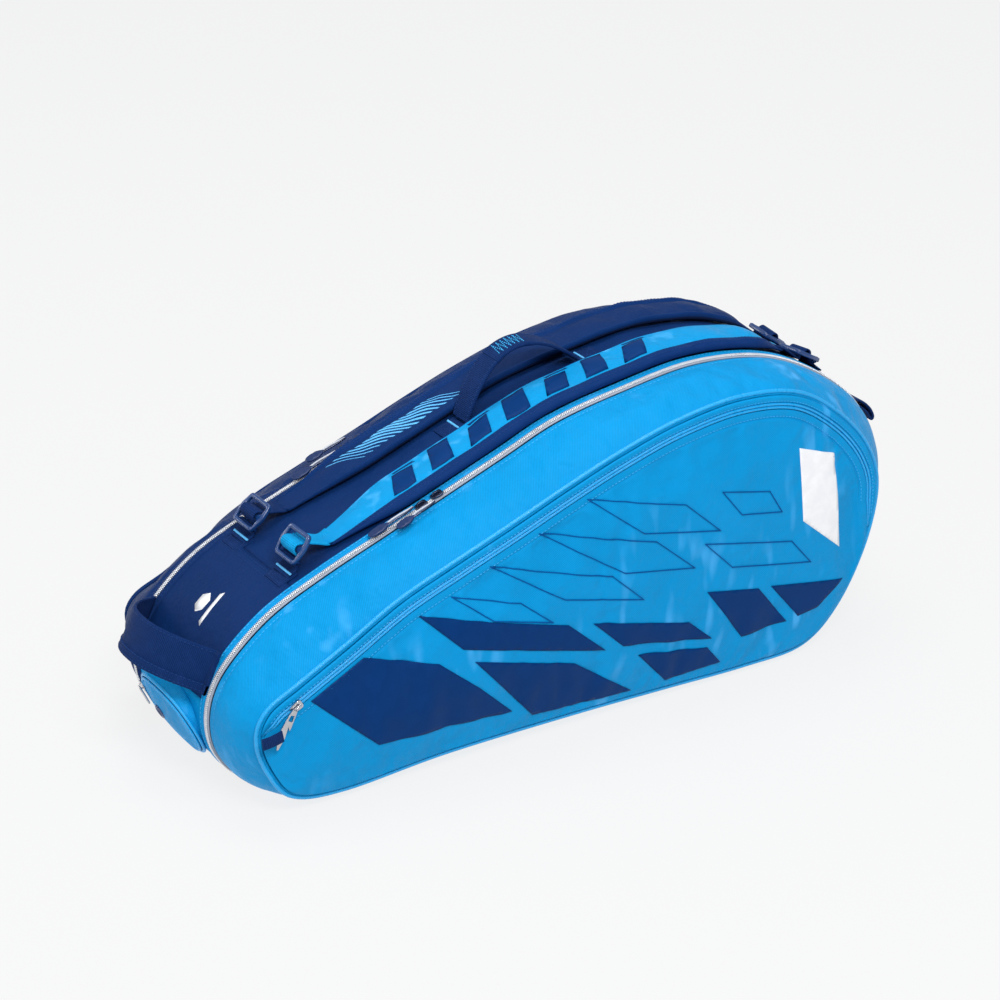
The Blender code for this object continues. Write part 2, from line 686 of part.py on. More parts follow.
def build_main_sliders(side, word):
    steel = material("steel", SILVER, 0.3, 1)
    tab = material("pull_tab", NAVY)
    for which, x, lean, y_pull, length in (("low", SLIDER_LOW_X, 0.0, 0.0745, 0.050),
                                           ("high", SLIDER_HIGH_X, 0.06, 0.0855, 0.044)):
        centre = track_point(x, side * ZIP_PLANE, SLIDER_LIFT + 0.0022)
        box(f"{word}_{which}_slider", (0.0130, 0.0100, 0.0040),
            frame_at(centre, TRACK, TRACK_UP), steel, 0.0010)
        direction = (ACROSS * side * lean - TRACK).normalized()
        start = track_point(x - 0.0088, side * y_pull, 0.0058)
        across = TRACK_UP.cross(direction).normalized()
        rings = [bar_section(start + direction * (length * share), across, TRACK_UP,
                             width, 0.0022)
                 for share, width in ((0.0, 0.004), (0.52, 0.004), (0.60, 0.009), (1.0, 0.009))]
        solid(f"{word}_{which}_pull", rings, tab)


def main():
    clear_scene()
    collection("racket_bag")
    collection("cutters", helper=True)
    build_spine()
    build_end_pocket()
    build_carry_handle()
    build_end_handle()
    build_head_tab()
    for side, word in ((-1, "near"), (1, "far")):
        build_shell(side, word)
        build_strap(side, word)
        build_main_sliders(side, word)
    build_near_panel()
    build_far_panel()
    build_side_pocket()
    for name in ("racket_bag", "cutters"):
        for obj in bpy.data.collections[name].objects:
            obj.matrix_world = Matrix.Translation(-MIDDLE) @ obj.matrix_world


main()
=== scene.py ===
"""The looks of the racket tournament bag: its cloth, webbing, zips and prints, round its frame.

Every piece is built in the frame's own metres: +X from the grip end to the head end, the near
side at -Y, +Z up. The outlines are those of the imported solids, so each piece lies on its solid.
"""

import math

import bmesh
import bpy
import numpy as np
from mathutils import Matrix, Vector, noise
from mathutils.bvhtree import BVHTree
from mathutils.geometry import delaunay_2d_cdt


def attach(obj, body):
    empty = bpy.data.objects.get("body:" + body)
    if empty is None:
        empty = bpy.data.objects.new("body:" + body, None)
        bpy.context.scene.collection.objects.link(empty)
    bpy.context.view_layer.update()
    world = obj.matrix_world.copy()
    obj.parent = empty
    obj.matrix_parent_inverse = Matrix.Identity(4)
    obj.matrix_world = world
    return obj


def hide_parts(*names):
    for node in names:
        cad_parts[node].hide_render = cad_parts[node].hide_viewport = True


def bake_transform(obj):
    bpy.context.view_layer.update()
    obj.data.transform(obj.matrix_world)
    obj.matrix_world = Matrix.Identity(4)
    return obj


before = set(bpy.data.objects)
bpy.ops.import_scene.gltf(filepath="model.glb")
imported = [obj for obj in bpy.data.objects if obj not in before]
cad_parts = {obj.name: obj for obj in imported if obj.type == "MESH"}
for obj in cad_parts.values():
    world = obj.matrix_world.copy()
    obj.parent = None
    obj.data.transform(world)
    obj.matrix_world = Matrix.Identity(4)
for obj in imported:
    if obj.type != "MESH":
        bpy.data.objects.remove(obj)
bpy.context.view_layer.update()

SCENE = bpy.context.scene

# Driving dimensions of the solids, in metres.
SHIFT = 0.0109           # from the middle of the base to the middle of the whole length
ZIP_PLANE = 0.075
SHELL_START = 0.0796     # the gusset's folded edge, beside the zip
PIPING_PLANE = 0.1475
PIPING_RADIUS = 0.0022
PANEL_PLANE = PIPING_PLANE - PIPING_RADIUS
SEAM = PANEL_PLANE - 0.0004
GUSSET_BULGE = 0.005
FAR_SAG, FAR_TUCK = 0.017, 0.012
POCKET_SEAM = 0.1517
POCKET_RISE = 0.0105
FAR_RISE = 0.0131
HUB = (SHIFT, 0.135)     # the middle of a side panel, (x, z)
STRAP_OUTER = 0.0688
STRAP_THICK = 0.011
STRAP_LIFT = 0.0036
ZIP_START, ZIP_END = 3.0, 21.5
END_WALL_TOP, ANCHOR_SEAM, HEAD_SEAM = 5.5, 8.5, 18.5
POCKET_ZIP_ENDS = (5.9, 19.0)

# Side view of the bag, (x, z), clockwise as seen from -Y: at the zips, and at the piping.
SPINE_KEYS = [
    (-0.020, 0.000), (-0.200, 0.000), (-0.310, 0.001), (-0.350, 0.013), (-0.374, 0.043),
    (-0.381, 0.078), (-0.373, 0.112), (-0.350, 0.141), (-0.310, 0.172), (-0.255, 0.1970),
    (-0.190, 0.2215), (-0.125, 0.2460), (-0.060, 0.2705), (0.000, 0.2931), (0.075, 0.3075),
    (0.160, 0.317), (0.245, 0.3055), (0.315, 0.272), (0.367, 0.226), (0.3885, 0.172),
    (0.3775, 0.112), (0.340, 0.050), (0.285, 0.008), (0.200, 0.000), (0.090, 0.000),
]
PANEL_KEYS = [
    (-0.020, 0.014), (-0.165, 0.015), (-0.276, 0.0095), (-0.332, 0.019), (-0.357, 0.052),
    (-0.367, 0.088), (-0.356, 0.115), (-0.322, 0.134), (-0.272, 0.160), (-0.215, 0.191),
    (-0.155, 0.214), (-0.095, 0.236), (-0.035, 0.259), (0.025, 0.280), (0.092, 0.298),
    (0.165, 0.306), (0.235, 0.295), (0.290, 0.259), (0.328, 0.214), (0.342, 0.167),
    (0.330, 0.106), (0.298, 0.046), (0.255, 0.012), (0.185, 0.008), (0.085, 0.011),
]
KEYS = len(SPINE_KEYS)

NAVY = (0.002, 0.024, 0.115)
DEEP_NAVY = (0.002, 0.010, 0.045)
WEB_NAVY = (0.001, 0.022, 0.112)
PRINT_NAVY = (0.0, 0.032, 0.150)
SKY = (0.0, 0.272, 0.615)
PALE_SKY = (0.10, 0.48, 0.90)
WHITE = (0.86, 0.87, 0.90)


def add_object(name, data):
    obj = bpy.data.objects.new(name, data)
    SCENE.collection.objects.link(obj)
    return obj


# ---------------------------------------------------------------- numbers and outlines

def smooth_step(u):
    u = np.clip(u, 0.0, 1.0)
    return u * u * (3 - 2 * u)


FAR_KEYS = [(x + FAR_TUCK * float(smooth_step((-0.2 - x) / 0.15)),
             z - FAR_SAG * float(smooth_step((z - 0.05) / 0.1))) for x, z in PANEL_KEYS]


def curve_between(p0, p1, p2, p3, u):
    """The smooth curve from p1, at u = 0, to p2, at u = 1, that also heeds p0 and p3."""
    return 0.5 * (2 * p1 + (p2 - p0) * u + (2 * p0 - 5 * p1 + 4 * p2 - p3) * u ** 2
                  + (3 * p1 - p0 - 3 * p2 + p3) * u ** 3)


def distances(points):
    """How far along a path each of its points is."""
    steps = np.linalg.norm(np.diff(points, axis=0), axis=1)
    return np.concatenate([[0], np.cumsum(steps)])


def outline(keys, t):
    """Points (x, z) of the smooth closed curve through the keys, at key positions t."""
    t = np.asarray(t, float)
    i = np.floor(t).astype(int)
    u = (t - i)[..., None]
    table = np.array(keys)
    point = curve_between(*(table[(i + k) % len(keys)] for k in (-1, 0, 1, 2)), u)
    return np.stack([point[..., 0] + SHIFT, np.maximum(point[..., 1], 0.0)], -1)


def normals(keys, t):
    """The curve's outward unit normals, (x, z)."""
    ahead = outline(keys, np.asarray(t) + 0.05) - outline(keys, np.asarray(t) - 0.05)
    out = np.stack([-ahead[..., 1], ahead[..., 0]], -1)
    return out / np.linalg.norm(out, axis=-1, keepdims=True)


def at(keys, t, y, lift=0.0):
    """Points in space over the outline: key positions t, depths y, raised by lift."""
    t, y, lift = np.broadcast_arrays(np.asarray(t, float), y, lift)
    flat = outline(keys, t) + normals(keys, t) * lift[..., None]
    return np.stack([flat[..., 0], y, flat[..., 1]], -1)


def directions(t):
    """Unit vectors up from the spine and along it at key positions t."""
    out = normals(SPINE_KEYS, t)
    zero = np.zeros_like(out[..., 0])
    up = np.stack([out[..., 0], zero, out[..., 1]], -1)
    along = np.stack([out[..., 1], zero, -out[..., 0]], -1)
    return up, along


def stations(keys, start, end, step):
    """Key positions from start to end that lie evenly, about step metres apart."""
    fine = np.arange(start, end + 0.01, 0.02)
    fine[-1] = end
    run = distances(outline(keys, fine))
    count = max(2, round(run[-1] / step))
    return np.interp(np.linspace(0, run[-1], count + 1), run, fine)


def crumple(points, size, depth, seed=0.0):
    """Smooth noise at each point, in metres, for folds about as wide as size."""
    flat = np.asarray(points, float).reshape(-1, 3)
    offset = Vector((seed, seed * 1.7, -seed))
    made = [noise.noise(Vector(p) / size + offset)
            + 0.5 * noise.noise(Vector(p) / size * 2.3 - offset) for p in flat]
    return depth * np.array(made).reshape(np.asarray(points).shape[:-1])


def unit(v):
    v = np.asarray(v, float)
    return v / np.linalg.norm(v, axis=-1, keepdims=True)


# ---------------------------------------------------------------- materials

class Graph:
    """A material's nodes, with short calls for what this script adds to them."""

    def __init__(self, name, roughness, metallic=0.0, sheen=0.0, specular=0.5):
        self.material = bpy.data.materials.new(name)
        self.material.use_nodes = True
        self.tree = self.material.node_tree
        self.shader = self.tree.nodes["Principled BSDF"]
        self.shader.inputs["Roughness"].default_value = roughness
        self.shader.inputs["Metallic"].default_value = metallic
        self.shader.inputs["Sheen Weight"].default_value = sheen
        self.shader.inputs["Sheen Roughness"].default_value = 0.4
        self.shader.inputs["Specular IOR Level"].default_value = specular

    def node(self, kind, inputs=None, **settings):
        made = self.tree.nodes.new(kind)
        for key, value in settings.items():
            setattr(made, key, value)
        for key, value in (inputs or {}).items():
            if isinstance(value, bpy.types.NodeSocket):
                self.tree.links.new(value, made.inputs[key])
            else:
                made.inputs[key].default_value = value
        return made.outputs[0]

    def math(self, operation, a, b=0.0):
        return self.node("ShaderNodeMath", {0: a, 1: b}, operation=operation)

    def coordinates(self, flat=True):
        """The piece's own coordinates in metres: its UVs, or its place in the bag."""
        source = self.tree.nodes.new("ShaderNodeTexCoord")
        return source.outputs["UV" if flat else "Object"]

    def wave(self, vector, axis, pitch, phase=0.0):
        """A sine across the chosen axis, from -1 to 1, once every pitch metres."""
        split = self.tree.nodes.new("ShaderNodeSeparateXYZ")
        self.tree.links.new(vector, split.inputs[0])
        turned = self.math("MULTIPLY", split.outputs[axis], 2 * math.pi / pitch)
        return self.math("SINE", self.math("ADD", turned, phase))

    def noise(self, vector, size, detail=3.0, rough=0.55):
        made = self.tree.nodes.new("ShaderNodeTexNoise")
        self.tree.links.new(vector, made.inputs["Vector"])
        made.inputs["Scale"].default_value = 1 / size
        made.inputs["Detail"].default_value = detail
        made.inputs["Roughness"].default_value = rough
        return made.outputs["Fac"]

    def ramp(self, value, low, high, start, end):
        return self.node("ShaderNodeMapRange", {"Value": value, "From Min": low, "From Max": high,
                                                "To Min": start, "To Max": end})

    def mix(self, share, a, b):
        made = self.tree.nodes.new("ShaderNodeMix")
        made.data_type = "RGBA"
        for socket, value in zip((made.inputs[0], made.inputs[6], made.inputs[7]), (share, a, b)):
            if isinstance(value, bpy.types.NodeSocket):
                self.tree.links.new(value, socket)
            else:
                socket.default_value = value
        return made.outputs[2]

    def bump(self, height, distance, strength, under=None):
        inputs = {"Height": height, "Distance": distance, "Strength": strength}
        if under is not None:
            inputs["Normal"] = under
        return self.node("ShaderNodeBump", inputs)

    def finish(self, colour, normal=None, roughness=None):
        self.tree.links.new(colour, self.shader.inputs["Base Color"])
        if normal is not None:
            self.tree.links.new(normal, self.shader.inputs["Normal"])
        if roughness is not None:
            self.tree.links.new(roughness, self.shader.inputs["Roughness"])
        return self.material


def shade(colour, factor, add=0.0):
    return tuple(min(1.0, c * factor + add) for c in colour) + (1.0,)


def cloth_material(name, colour, pitch=0.0019, rough=0.40, sheen=0.01, folds=0.35, flat=True,
                   pale=0.003, painted_crease_highlight=0.0, specular=0.07):
    """Coated woven polyester: crossed threads, broad soft colour changes and fine folds.
    Its crease highlight setting is how strongly pale streaks are painted on its creases: a painted
    highlight, standing in for light caught by the folds."""
    g = Graph(name, rough, sheen=sheen, specular=specular)
    place = g.coordinates(flat)
    body = g.coordinates(False)
    warp = g.wave(place, 0, pitch)
    weft = g.wave(place, 1 if flat else 2, pitch)
    weave = g.math("MULTIPLY", warp, weft)
    broad = g.noise(body, 0.09)
    fine = g.noise(body, 0.006, 4.0)
    tone = g.mix(g.ramp(weave, -1, 1, 0, 1), shade(colour, 0.74), shade(colour, 1.22, pale * 0.4))
    tone = g.mix(g.ramp(broad, 0.35, 0.72, 0.0, 0.30), tone, shade(colour, 1.20, pale))
    if painted_crease_highlight:
        # Painted highlight: pale streaks along stretched noise, where creased folds would catch
        # the light.
        lengthened = g.node("ShaderNodeVectorMath", {0: body, 1: (1.0, 1.0, 0.30)},
                            operation="MULTIPLY")
        crease = g.noise(lengthened, 0.020, 1.5, 0.5)
        where = g.ramp(g.noise(body, 0.16, 1.0), 0.48, 0.62, 0.0, 1.0)
        lit = g.math("MULTIPLY", g.ramp(crease, 0.56, 0.70, 0.0, painted_crease_highlight), where)
        tone = g.mix(lit, tone, shade(colour, 1.45, 0.12))
    folded = g.bump(g.noise(body, 0.045, 4.0, 0.5), 0.012, folds)
    creased = g.bump(fine, 0.0009, 0.22, folded)
    woven = g.bump(weave, 0.00022, 0.55, creased)
    return g.finish(tone, woven, g.ramp(fine, 0.3, 0.7, rough - 0.05, rough + 0.09))


def webbing_material(name, colour):
    """Ribbed polyester webbing: cross ribs, with finer threads along it."""
    g = Graph(name, 0.62, sheen=0.01, specular=0.08)
    place = g.coordinates()
    ribs = g.wave(place, 1, 0.0017)
    threads = g.wave(place, 0, 0.0012, 0.8)
    weave = g.math("ADD", g.math("MULTIPLY", ribs, 0.6), g.math("MULTIPLY", threads, 0.4))
    worn = g.noise(g.coordinates(False), 0.012, 4.0)
    tone = g.mix(g.ramp(weave, -1, 1, 0, 1), shade(colour, 0.62), shade(colour, 1.35, 0.004))
    tone = g.mix(g.ramp(worn, 0.45, 0.75, 0.0, 0.35), tone, shade(colour, 1.5, 0.012))
    return g.finish(tone, g.bump(weave, 0.0004, 0.8), g.ramp(worn, 0.3, 0.7, 0.55, 0.72))


def plain_material(name, colour, rough, metallic=0.0, pale=0.02, specular=0.5):
    """Moulded plastic, rubber, ink or plated metal: fine grain, and a little wear in its tone."""
    g = Graph(name, rough, metallic, specular=specular)
    body = g.coordinates(False)
    fine = g.noise(body, 0.0015)
    worn = g.noise(body, 0.014, 5.0, 0.6)
    tone = g.mix(g.ramp(worn, 0.42, 0.78, 0.0, 0.5), shade(colour, 0.95),
                 shade(colour, 1.18, pale))
    return g.finish(tone, g.bump(fine, 0.00006, 0.5),
                    g.ramp(worn, 0.3, 0.7, rough - 0.06, rough + 0.10))


def make_materials():
    return {
        "sky": cloth_material("sky_cloth", SKY, folds=0.65, painted_crease_highlight=0.48),
        # Glossy, and lighter than the sky cloth: the lighter colour is a painted highlight on the
        # piping and the zip ridges.
        "piping": cloth_material("glossy_piping_cloth_painted_highlight", (0.0, 0.34, 0.74), rough=0.28, folds=0.2,
                                 specular=0.5),
        "navy": cloth_material("navy_cloth", NAVY, rough=0.46, folds=0.45, pale=0.004),
        "base": cloth_material("base_cloth", DEEP_NAVY, pitch=0.0016, rough=0.55, pale=0.01),
        "lining": cloth_material("lining_cloth", (0.02, 0.028, 0.05), rough=0.7, flat=False,
                                 pale=0.008),
        "sky_face": cloth_material("strap_sky_cloth", (0.0, 0.29, 0.64), pitch=0.0014,
                                   folds=0.6, pale=0.008, painted_crease_highlight=0.5),
        "navy_face": cloth_material("strap_navy_cloth", NAVY, rough=0.48, folds=0.6, pale=0.005),
        "binding": cloth_material("binding_cloth", (0.001, 0.027, 0.135), pitch=0.0014,
                                  rough=0.5, folds=0.25, pale=0.004),
        "backing": cloth_material("mesh_backing", (0.003, 0.014, 0.060), pitch=0.0026,
                                  rough=0.75, pale=0.01),
        "webbing": webbing_material("navy_ribbed_webbing", WEB_NAVY),
        "sky_webbing": webbing_material("sky_ribbed_webbing", (0.0, 0.32, 0.68)),
        "buckle": plain_material("satin_moulded_plastic", (0.004, 0.040, 0.165), 0.24,
                                 pale=0.03, specular=0.9),
        "rubber": plain_material("navy_rubber", (0.001, 0.020, 0.100), 0.42, pale=0.008),
        "silver_tape": cloth_material("silver_tape_cloth", (0.34, 0.37, 0.44), pitch=0.0016,
                                      rough=0.5, pale=0.05, folds=0.1),
        "coil": plain_material("silver_coil", (0.78, 0.80, 0.84), 0.30, 0.55, pale=0.1),
        "steel": plain_material("nickel_plate", (0.50, 0.50, 0.53), 0.16, 1.0, pale=0.1),
        "dark_steel": plain_material("dark_plated_metal", (0.045, 0.055, 0.10), 0.20, 0.8),
        "print": plain_material("navy_print_ink", PRINT_NAVY, 0.44, pale=0.002, specular=0.07),
        "line": plain_material("blue_line_ink", (0.0, 0.085, 0.33), 0.44, pale=0.002,
                               specular=0.07),
        "white": plain_material("white_print_ink", WHITE, 0.42, pale=0.02, specular=0.3),
        "pale": plain_material("pale_blue_thread", PALE_SKY, 0.6),
        "sky_thread": plain_material("sky_thread", (0.03, 0.42, 0.82), 0.5),
        "navy_thread": plain_material("navy_thread", (0.003, 0.036, 0.165), 0.65, specular=0.2),
        "silver_cord": plain_material("silver_cord_yarn", (0.52, 0.55, 0.62), 0.5),
    }


# ---------------------------------------------------------------- meshes

def make(name, verts, faces, mats, uvs=None, face_mats=None):
    """A smooth-shaded mesh object; uvs holds a pair for each corner of each face."""
    mesh = bpy.data.meshes.new(name)
    mesh.from_pydata(np.asarray(verts, float).tolist(), [], faces)
    for mat in mats if isinstance(mats, (list, tuple)) else [mats]:
        mesh.materials.append(mat)
    if face_mats is not None:
        mesh.polygons.foreach_set("material_index", np.asarray(face_mats, np.int32))
    if uvs is not None:
        layer = mesh.uv_layers.new(name="metres")
        layer.data.foreach_set("uv", np.asarray(uvs, np.float32).ravel())
    mesh.shade_smooth()
    return add_object(name, mesh)


def face_out(obj, centre):
    """Turns an open surface's faces away from the centre."""
    mesh = obj.data
    total = sum(f.normal.dot(f.center - Vector(centre)) * f.area for f in mesh.polygons)
    if total < 0:
        mesh.flip_normals()
    return obj


def loft(name, points, mats, closed=False, caps=False, stripes=None, centre=(0, 0, 0.15)):
    """A surface through rows of points, its UVs in metres: U along a row, V from row to row.
    stripes gives the material of each column of faces."""
    points = np.asarray(points, float)
    rows, cols, _ = points.shape
    spans = cols if closed else cols - 1
    middle = points[rows // 2]
    u = distances(np.vstack([middle, middle[:1]]))
    steps = np.linalg.norm(np.diff(points, axis=0), axis=2).mean(axis=1)
    v = np.concatenate([[0], np.cumsum(steps)])
    faces, uvs, kinds = [], [], []
    for r in range(rows - 1):
        for c in range(spans):
            d = (c + 1) % cols
            faces.append((r * cols + c, r * cols + d, (r + 1) * cols + d, (r + 1) * cols + c))
            uvs += [(u[c], v[r]), (u[c + 1], v[r]), (u[c + 1], v[r + 1]), (u[c], v[r + 1])]
            kinds.append(stripes[c] if stripes is not None else 0)
    if caps:
        for row in (0, rows - 1):
            ring = [row * cols + c for c in range(cols)]
            faces.append(tuple(ring if row else reversed(ring)))
            uvs += [(u[c], v[row]) for c in range(cols)]
            kinds.append(0)
    obj = make(name, points.reshape(-1, 3), faces, mats, uvs, kinds)
    if caps:
        volume = bmesh.new()
        volume.from_mesh(obj.data)
        if volume.calc_volume(signed=True) < 0:
            obj.data.flip_normals()
        volume.free()
        obj.data.set_sharp_from_angle(angle=math.radians(50))
        return obj
    return face_out(obj, centre)


def rounded(width, height, corner, steps=3):
    """A rounded rectangle, (u, v), anticlockwise."""
    corner = min(corner, width / 2 * 0.98, height / 2 * 0.98)
    ring = []
    for k, (sx, sy) in enumerate(((1, 1), (-1, 1), (-1, -1), (1, -1))):
        for i in range(steps + 1):
            a = math.pi / 2 * (k + i / steps)
            ring.append((sx * (width / 2 - corner) + corner * math.cos(a),
                         sy * (height / 2 - corner) + corner * math.sin(a)))
    return np.array(ring)


def ribbon(name, centres, across, up, width, height, mat, corner=0.45, steps=3):
    """A solid band: a rounded section carried along the centres. width may change along it."""
    centres = np.asarray(centres, float)
    across = unit(np.broadcast_to(across, centres.shape))
    up = unit(np.broadcast_to(up, centres.shape))
    widths = np.broadcast_to(np.asarray(width, float), (len(centres),))
    heights = np.broadcast_to(np.asarray(height, float), (len(centres),))
    rings = []
    for c, a, b, w, h in zip(centres, across, up, widths, heights):
        section = rounded(w, h, h * corner, steps)
        rings.append(c + section[:, :1] * a + section[:, 1:] * b)
    return loft(name, rings, mat, closed=True, caps=True)


def tube(name, path, radius, mat, closed=False, sides=10, guide=(0, 1, 0)):
    """A round cord or piping along a path that stays clear of the guide's direction."""
    path = np.asarray(path, float)
    if closed:
        ahead = np.roll(path, -1, axis=0) - np.roll(path, 1, axis=0)
    else:
        ahead = np.gradient(path, axis=0)
    ahead = unit(ahead)
    side = unit(np.cross(ahead, guide))
    up = np.cross(side, ahead)
    angles = np.arange(sides) / sides * 2 * math.pi
    radii = np.broadcast_to(np.asarray(radius, float), (len(path),))[:, None, None]
    rings = path[:, None] + radii * (np.cos(angles)[None, :, None] * side[:, None]
                                     + np.sin(angles)[None, :, None] * up[:, None])
    if closed:
        rings = np.concatenate([rings, rings[:1]])
        obj = loft(name, rings, mat, closed=True)
        weld(obj)
        return obj
    return loft(name, rings, mat, closed=True, caps=True)


def weld(obj):
    """Joins the seam of a closed tube, and faces it outwards."""
    bm = bmesh.new()
    bm.from_mesh(obj.data)
    bmesh.ops.remove_doubles(bm, verts=bm.verts[:], dist=0.00001)
    bmesh.ops.recalc_face_normals(bm, faces=bm.faces[:])
    bm.to_mesh(obj.data)
    bm.free()


def thicken(obj, thickness, lined=False, even=True):
    """Gives a sheet its thickness, inwards, with its second material on the inside if lined."""
    modifier = obj.modifiers.new("thickness", "SOLIDIFY")
    modifier.thickness = thickness
    modifier.offset = -1
    modifier.use_even_offset = even
    if lined:
        modifier.material_offset = 1


def refine(obj):
    modifier = obj.modifiers.new("refine", "SUBSURF")
    modifier.levels = modifier.render_levels = 1


def put(obj, body, slot, *nodes):
    """obj rides on the body and stands for those solids. slot is not used."""
    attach(obj, body)
    if nodes:
        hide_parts(*nodes)


def coordinates(mesh):
    flat = np.empty(len(mesh.vertices) * 3)
    mesh.vertices.foreach_get("co", flat)
    return flat.reshape(-1, 3)


def set_coordinates(mesh, points):
    mesh.vertices.foreach_set("co", np.asarray(points, float).ravel())
    mesh.update()


SETTLE_FRAMES = 18       # how many steps the cloth simulation takes


def settle(obj, held, pressure, slack, cap):
    """Lets the cloth between the held vertices find its own folds, by simulation.
    slack is the share of extra cloth, and cap the most that a point may move."""
    start = coordinates(obj.data)
    group = obj.vertex_groups.new(name="held")
    group.add([int(i) for i in np.flatnonzero(held)], 1.0, "REPLACE")
    cloth = obj.modifiers.new("cloth", "CLOTH")
    settings = cloth.settings
    settings.vertex_group_mass = group.name
    settings.use_pressure = True
    settings.uniform_pressure_force = pressure
    settings.effector_weights.gravity = 0
    settings.shrink_min = -slack
    settings.quality = 6
    settings.bending_stiffness = 1.2
    cloth.point_cache.frame_start = 1
    cloth.point_cache.frame_end = SETTLE_FRAMES
    for number in range(1, SETTLE_FRAMES + 1):
        SCENE.frame_set(number)
    seen = obj.evaluated_get(bpy.context.evaluated_depsgraph_get())
    moved = coordinates(seen.data) - start
    obj.modifiers.remove(cloth)
    obj.vertex_groups.remove(group)
    SCENE.frame_set(1)
    length = np.linalg.norm(moved, axis=1, keepdims=True)
    moved *= np.minimum(1.0, cap / np.maximum(length, 1e-9))
    set_coordinates(obj.data, start + moved)


def surface(obj):
    """A search tree of the object's shown surface, in the row frame."""
    return BVHTree.FromObject(obj, bpy.context.evaluated_depsgraph_get())


def drape(points, tree, lift, ahead=None):
    """Each point moved to the nearest place on the surface, or to the one that it meets when it
    goes ahead, and off it by lift."""
    placed, ups = [], []
    for p in points:
        spot, normal, _, _ = tree.ray_cast(Vector(p), Vector(ahead)) if ahead else [None] * 4
        if spot is None:
            spot, normal, _, _ = tree.find_nearest(Vector(p))
        placed.append(spot + normal * lift)
        ups.append(normal)
    return np.array(placed), np.array(ups)


# ---------------------------------------------------------------- thread

def spaced(path, pitch, closed=False):
    """Points every pitch metres along a path, and the path's directions there."""
    path = np.asarray(path, float)
    if closed:
        path = np.vstack([path, path[:1]])
    run = distances(path)
    count = max(1, int(run[-1] / pitch))
    spots = (np.arange(count) + 0.5) * run[-1] / count
    points, ahead, back = (np.stack([np.interp(spots + gap, run, column) for column in path.T], -1)
                           for gap in (0.0, 0.0004, -0.0004))
    return points, unit(ahead - back)


def four_sides(first):
    """The corners of each side of a square ring of vertices."""
    return [(first + i, first + (i + 1) % 4) for i in range(4)]


def threads(name, centres, along, ups, length, radius, mat):
    """Many short raised stitches, as one mesh."""
    side = unit(np.cross(ups, along))
    ups = unit(np.cross(along, side))
    verts = []
    for share in (0.30, -0.30):
        for corner in range(4):
            a = math.pi / 2 * corner + math.pi / 4
            verts.append(centres + along * length * share
                         + side * radius * math.cos(a) * 1.3 + ups * radius * math.sin(a))
    for share in (0.5, -0.5):
        verts.append(centres + along * length * share - ups * radius * 0.9)
    verts = np.stack(verts, 1)
    faces = []
    for b in range(0, len(centres) * 10, 10):
        for i, j in four_sides(b):
            faces += [(i, j, j + 4, i + 4), (j, i, b + 8), (i + 4, j + 4, b + 9)]
    return make(name, verts.reshape(-1, 3), faces, mat)


def seam(name, path, tree, mat, body, slot, pitch=0.0046, length=0.0034, radius=0.00038,
         closed=False, lift=None):
    """A row of stitches along a path, laid on a surface."""
    points, along = spaced(path, pitch, closed)
    points, ups = drape(points, tree, radius * 0.3 if lift is None else lift)
    put(threads(name, points, along, ups, length, radius, mat), body, slot)


def bartack(name, centre, along, across, up, width, mat, body, slot):
    """A dense bar of short threads across a webbing's end."""
    count = int(width / 0.0009)
    offsets = np.linspace(-width / 2, width / 2, count)
    centres = np.array(centre) + np.array(across) * offsets[:, None]
    ahead = np.broadcast_to(unit(np.array(along) + 0.25 * np.array(across)), centres.shape)
    put(threads(name, centres, ahead, np.broadcast_to(up, centres.shape), 0.0030, 0.00045,
                mat), body, slot)


# ---------------------------------------------------------------- camera, light and floor

def set_camera():
    lens = bpy.data.cameras.new("camera")
    lens.lens = 108
    lens.sensor_width = 36
    camera = add_object("camera", lens)
    azimuth, elevation, distance = math.radians(-32.06), math.radians(25.35), 2.9616
    aim = Vector((-0.0029, 0, 0.1819))
    back = Vector((math.sin(azimuth) * math.cos(elevation),
                   -math.cos(azimuth) * math.cos(elevation), math.sin(elevation)))
    camera.location = aim + back * distance
    camera.rotation_euler = back.to_track_quat("Z", "Y").to_euler()
    SCENE.camera = camera


def area_light(name, place, aim, size, power):
    light = bpy.data.lights.new(name, "AREA")
    light.shape = "RECTANGLE"
    light.size, light.size_y = size
    light.energy = power
    obj = add_object(name, light)
    obj.location = place
    obj.rotation_euler = (Vector(place) - Vector(aim)).to_track_quat("Z", "Y").to_euler()


def set_studio():
    SCENE.view_settings.view_transform = "Standard"
    world = bpy.data.worlds.new("studio")
    SCENE.world = world
    world.use_nodes = True
    background = world.node_tree.nodes["Background"]
    background.inputs["Color"].default_value = (0.93, 0.96, 1.0, 1)
    background.inputs["Strength"].default_value = 0.42
    area_light("key", (-0.5, -1.9, 2.4), (0, 0, 0.15), (1.2, 0.9), 60)
    area_light("top", (0.2, 0.5, 2.8), (0, 0, 0.2), (1.8, 1.2), 32)
    area_light("left", (-2.6, -0.4, 1.2), (-0.2, 0, 0.15), (1.2, 1.4), 14)
    area_light("back", (-1.7, 2.3, 1.35), (-0.1, 0, 0.2), (0.8, 0.5), 7)

    mesh = bpy.data.meshes.new("floor")
    reach = 12.0
    mesh.from_pydata([(-reach, -reach, 0), (reach, -reach, 0), (reach, reach, 0),
                      (-reach, reach, 0)], [], [(0, 1, 2, 3)])
    floor = add_object("floor", mesh)
    floor.location.z = -0.0006
    g = Graph("pale_floor", 0.9, specular=0.1)
    tone = g.noise(g.coordinates(False), 0.4, 2.0)
    g.shader.inputs["Emission Color"].default_value = (0.955, 0.957, 0.957, 1)
    g.shader.inputs["Emission Strength"].default_value = 0.860
    low, high = ((grey, grey, grey, 1) for grey in (0.080, 0.084))
    mesh.materials.append(g.finish(g.mix(tone, low, high)))


# ---------------------------------------------------------------- zips

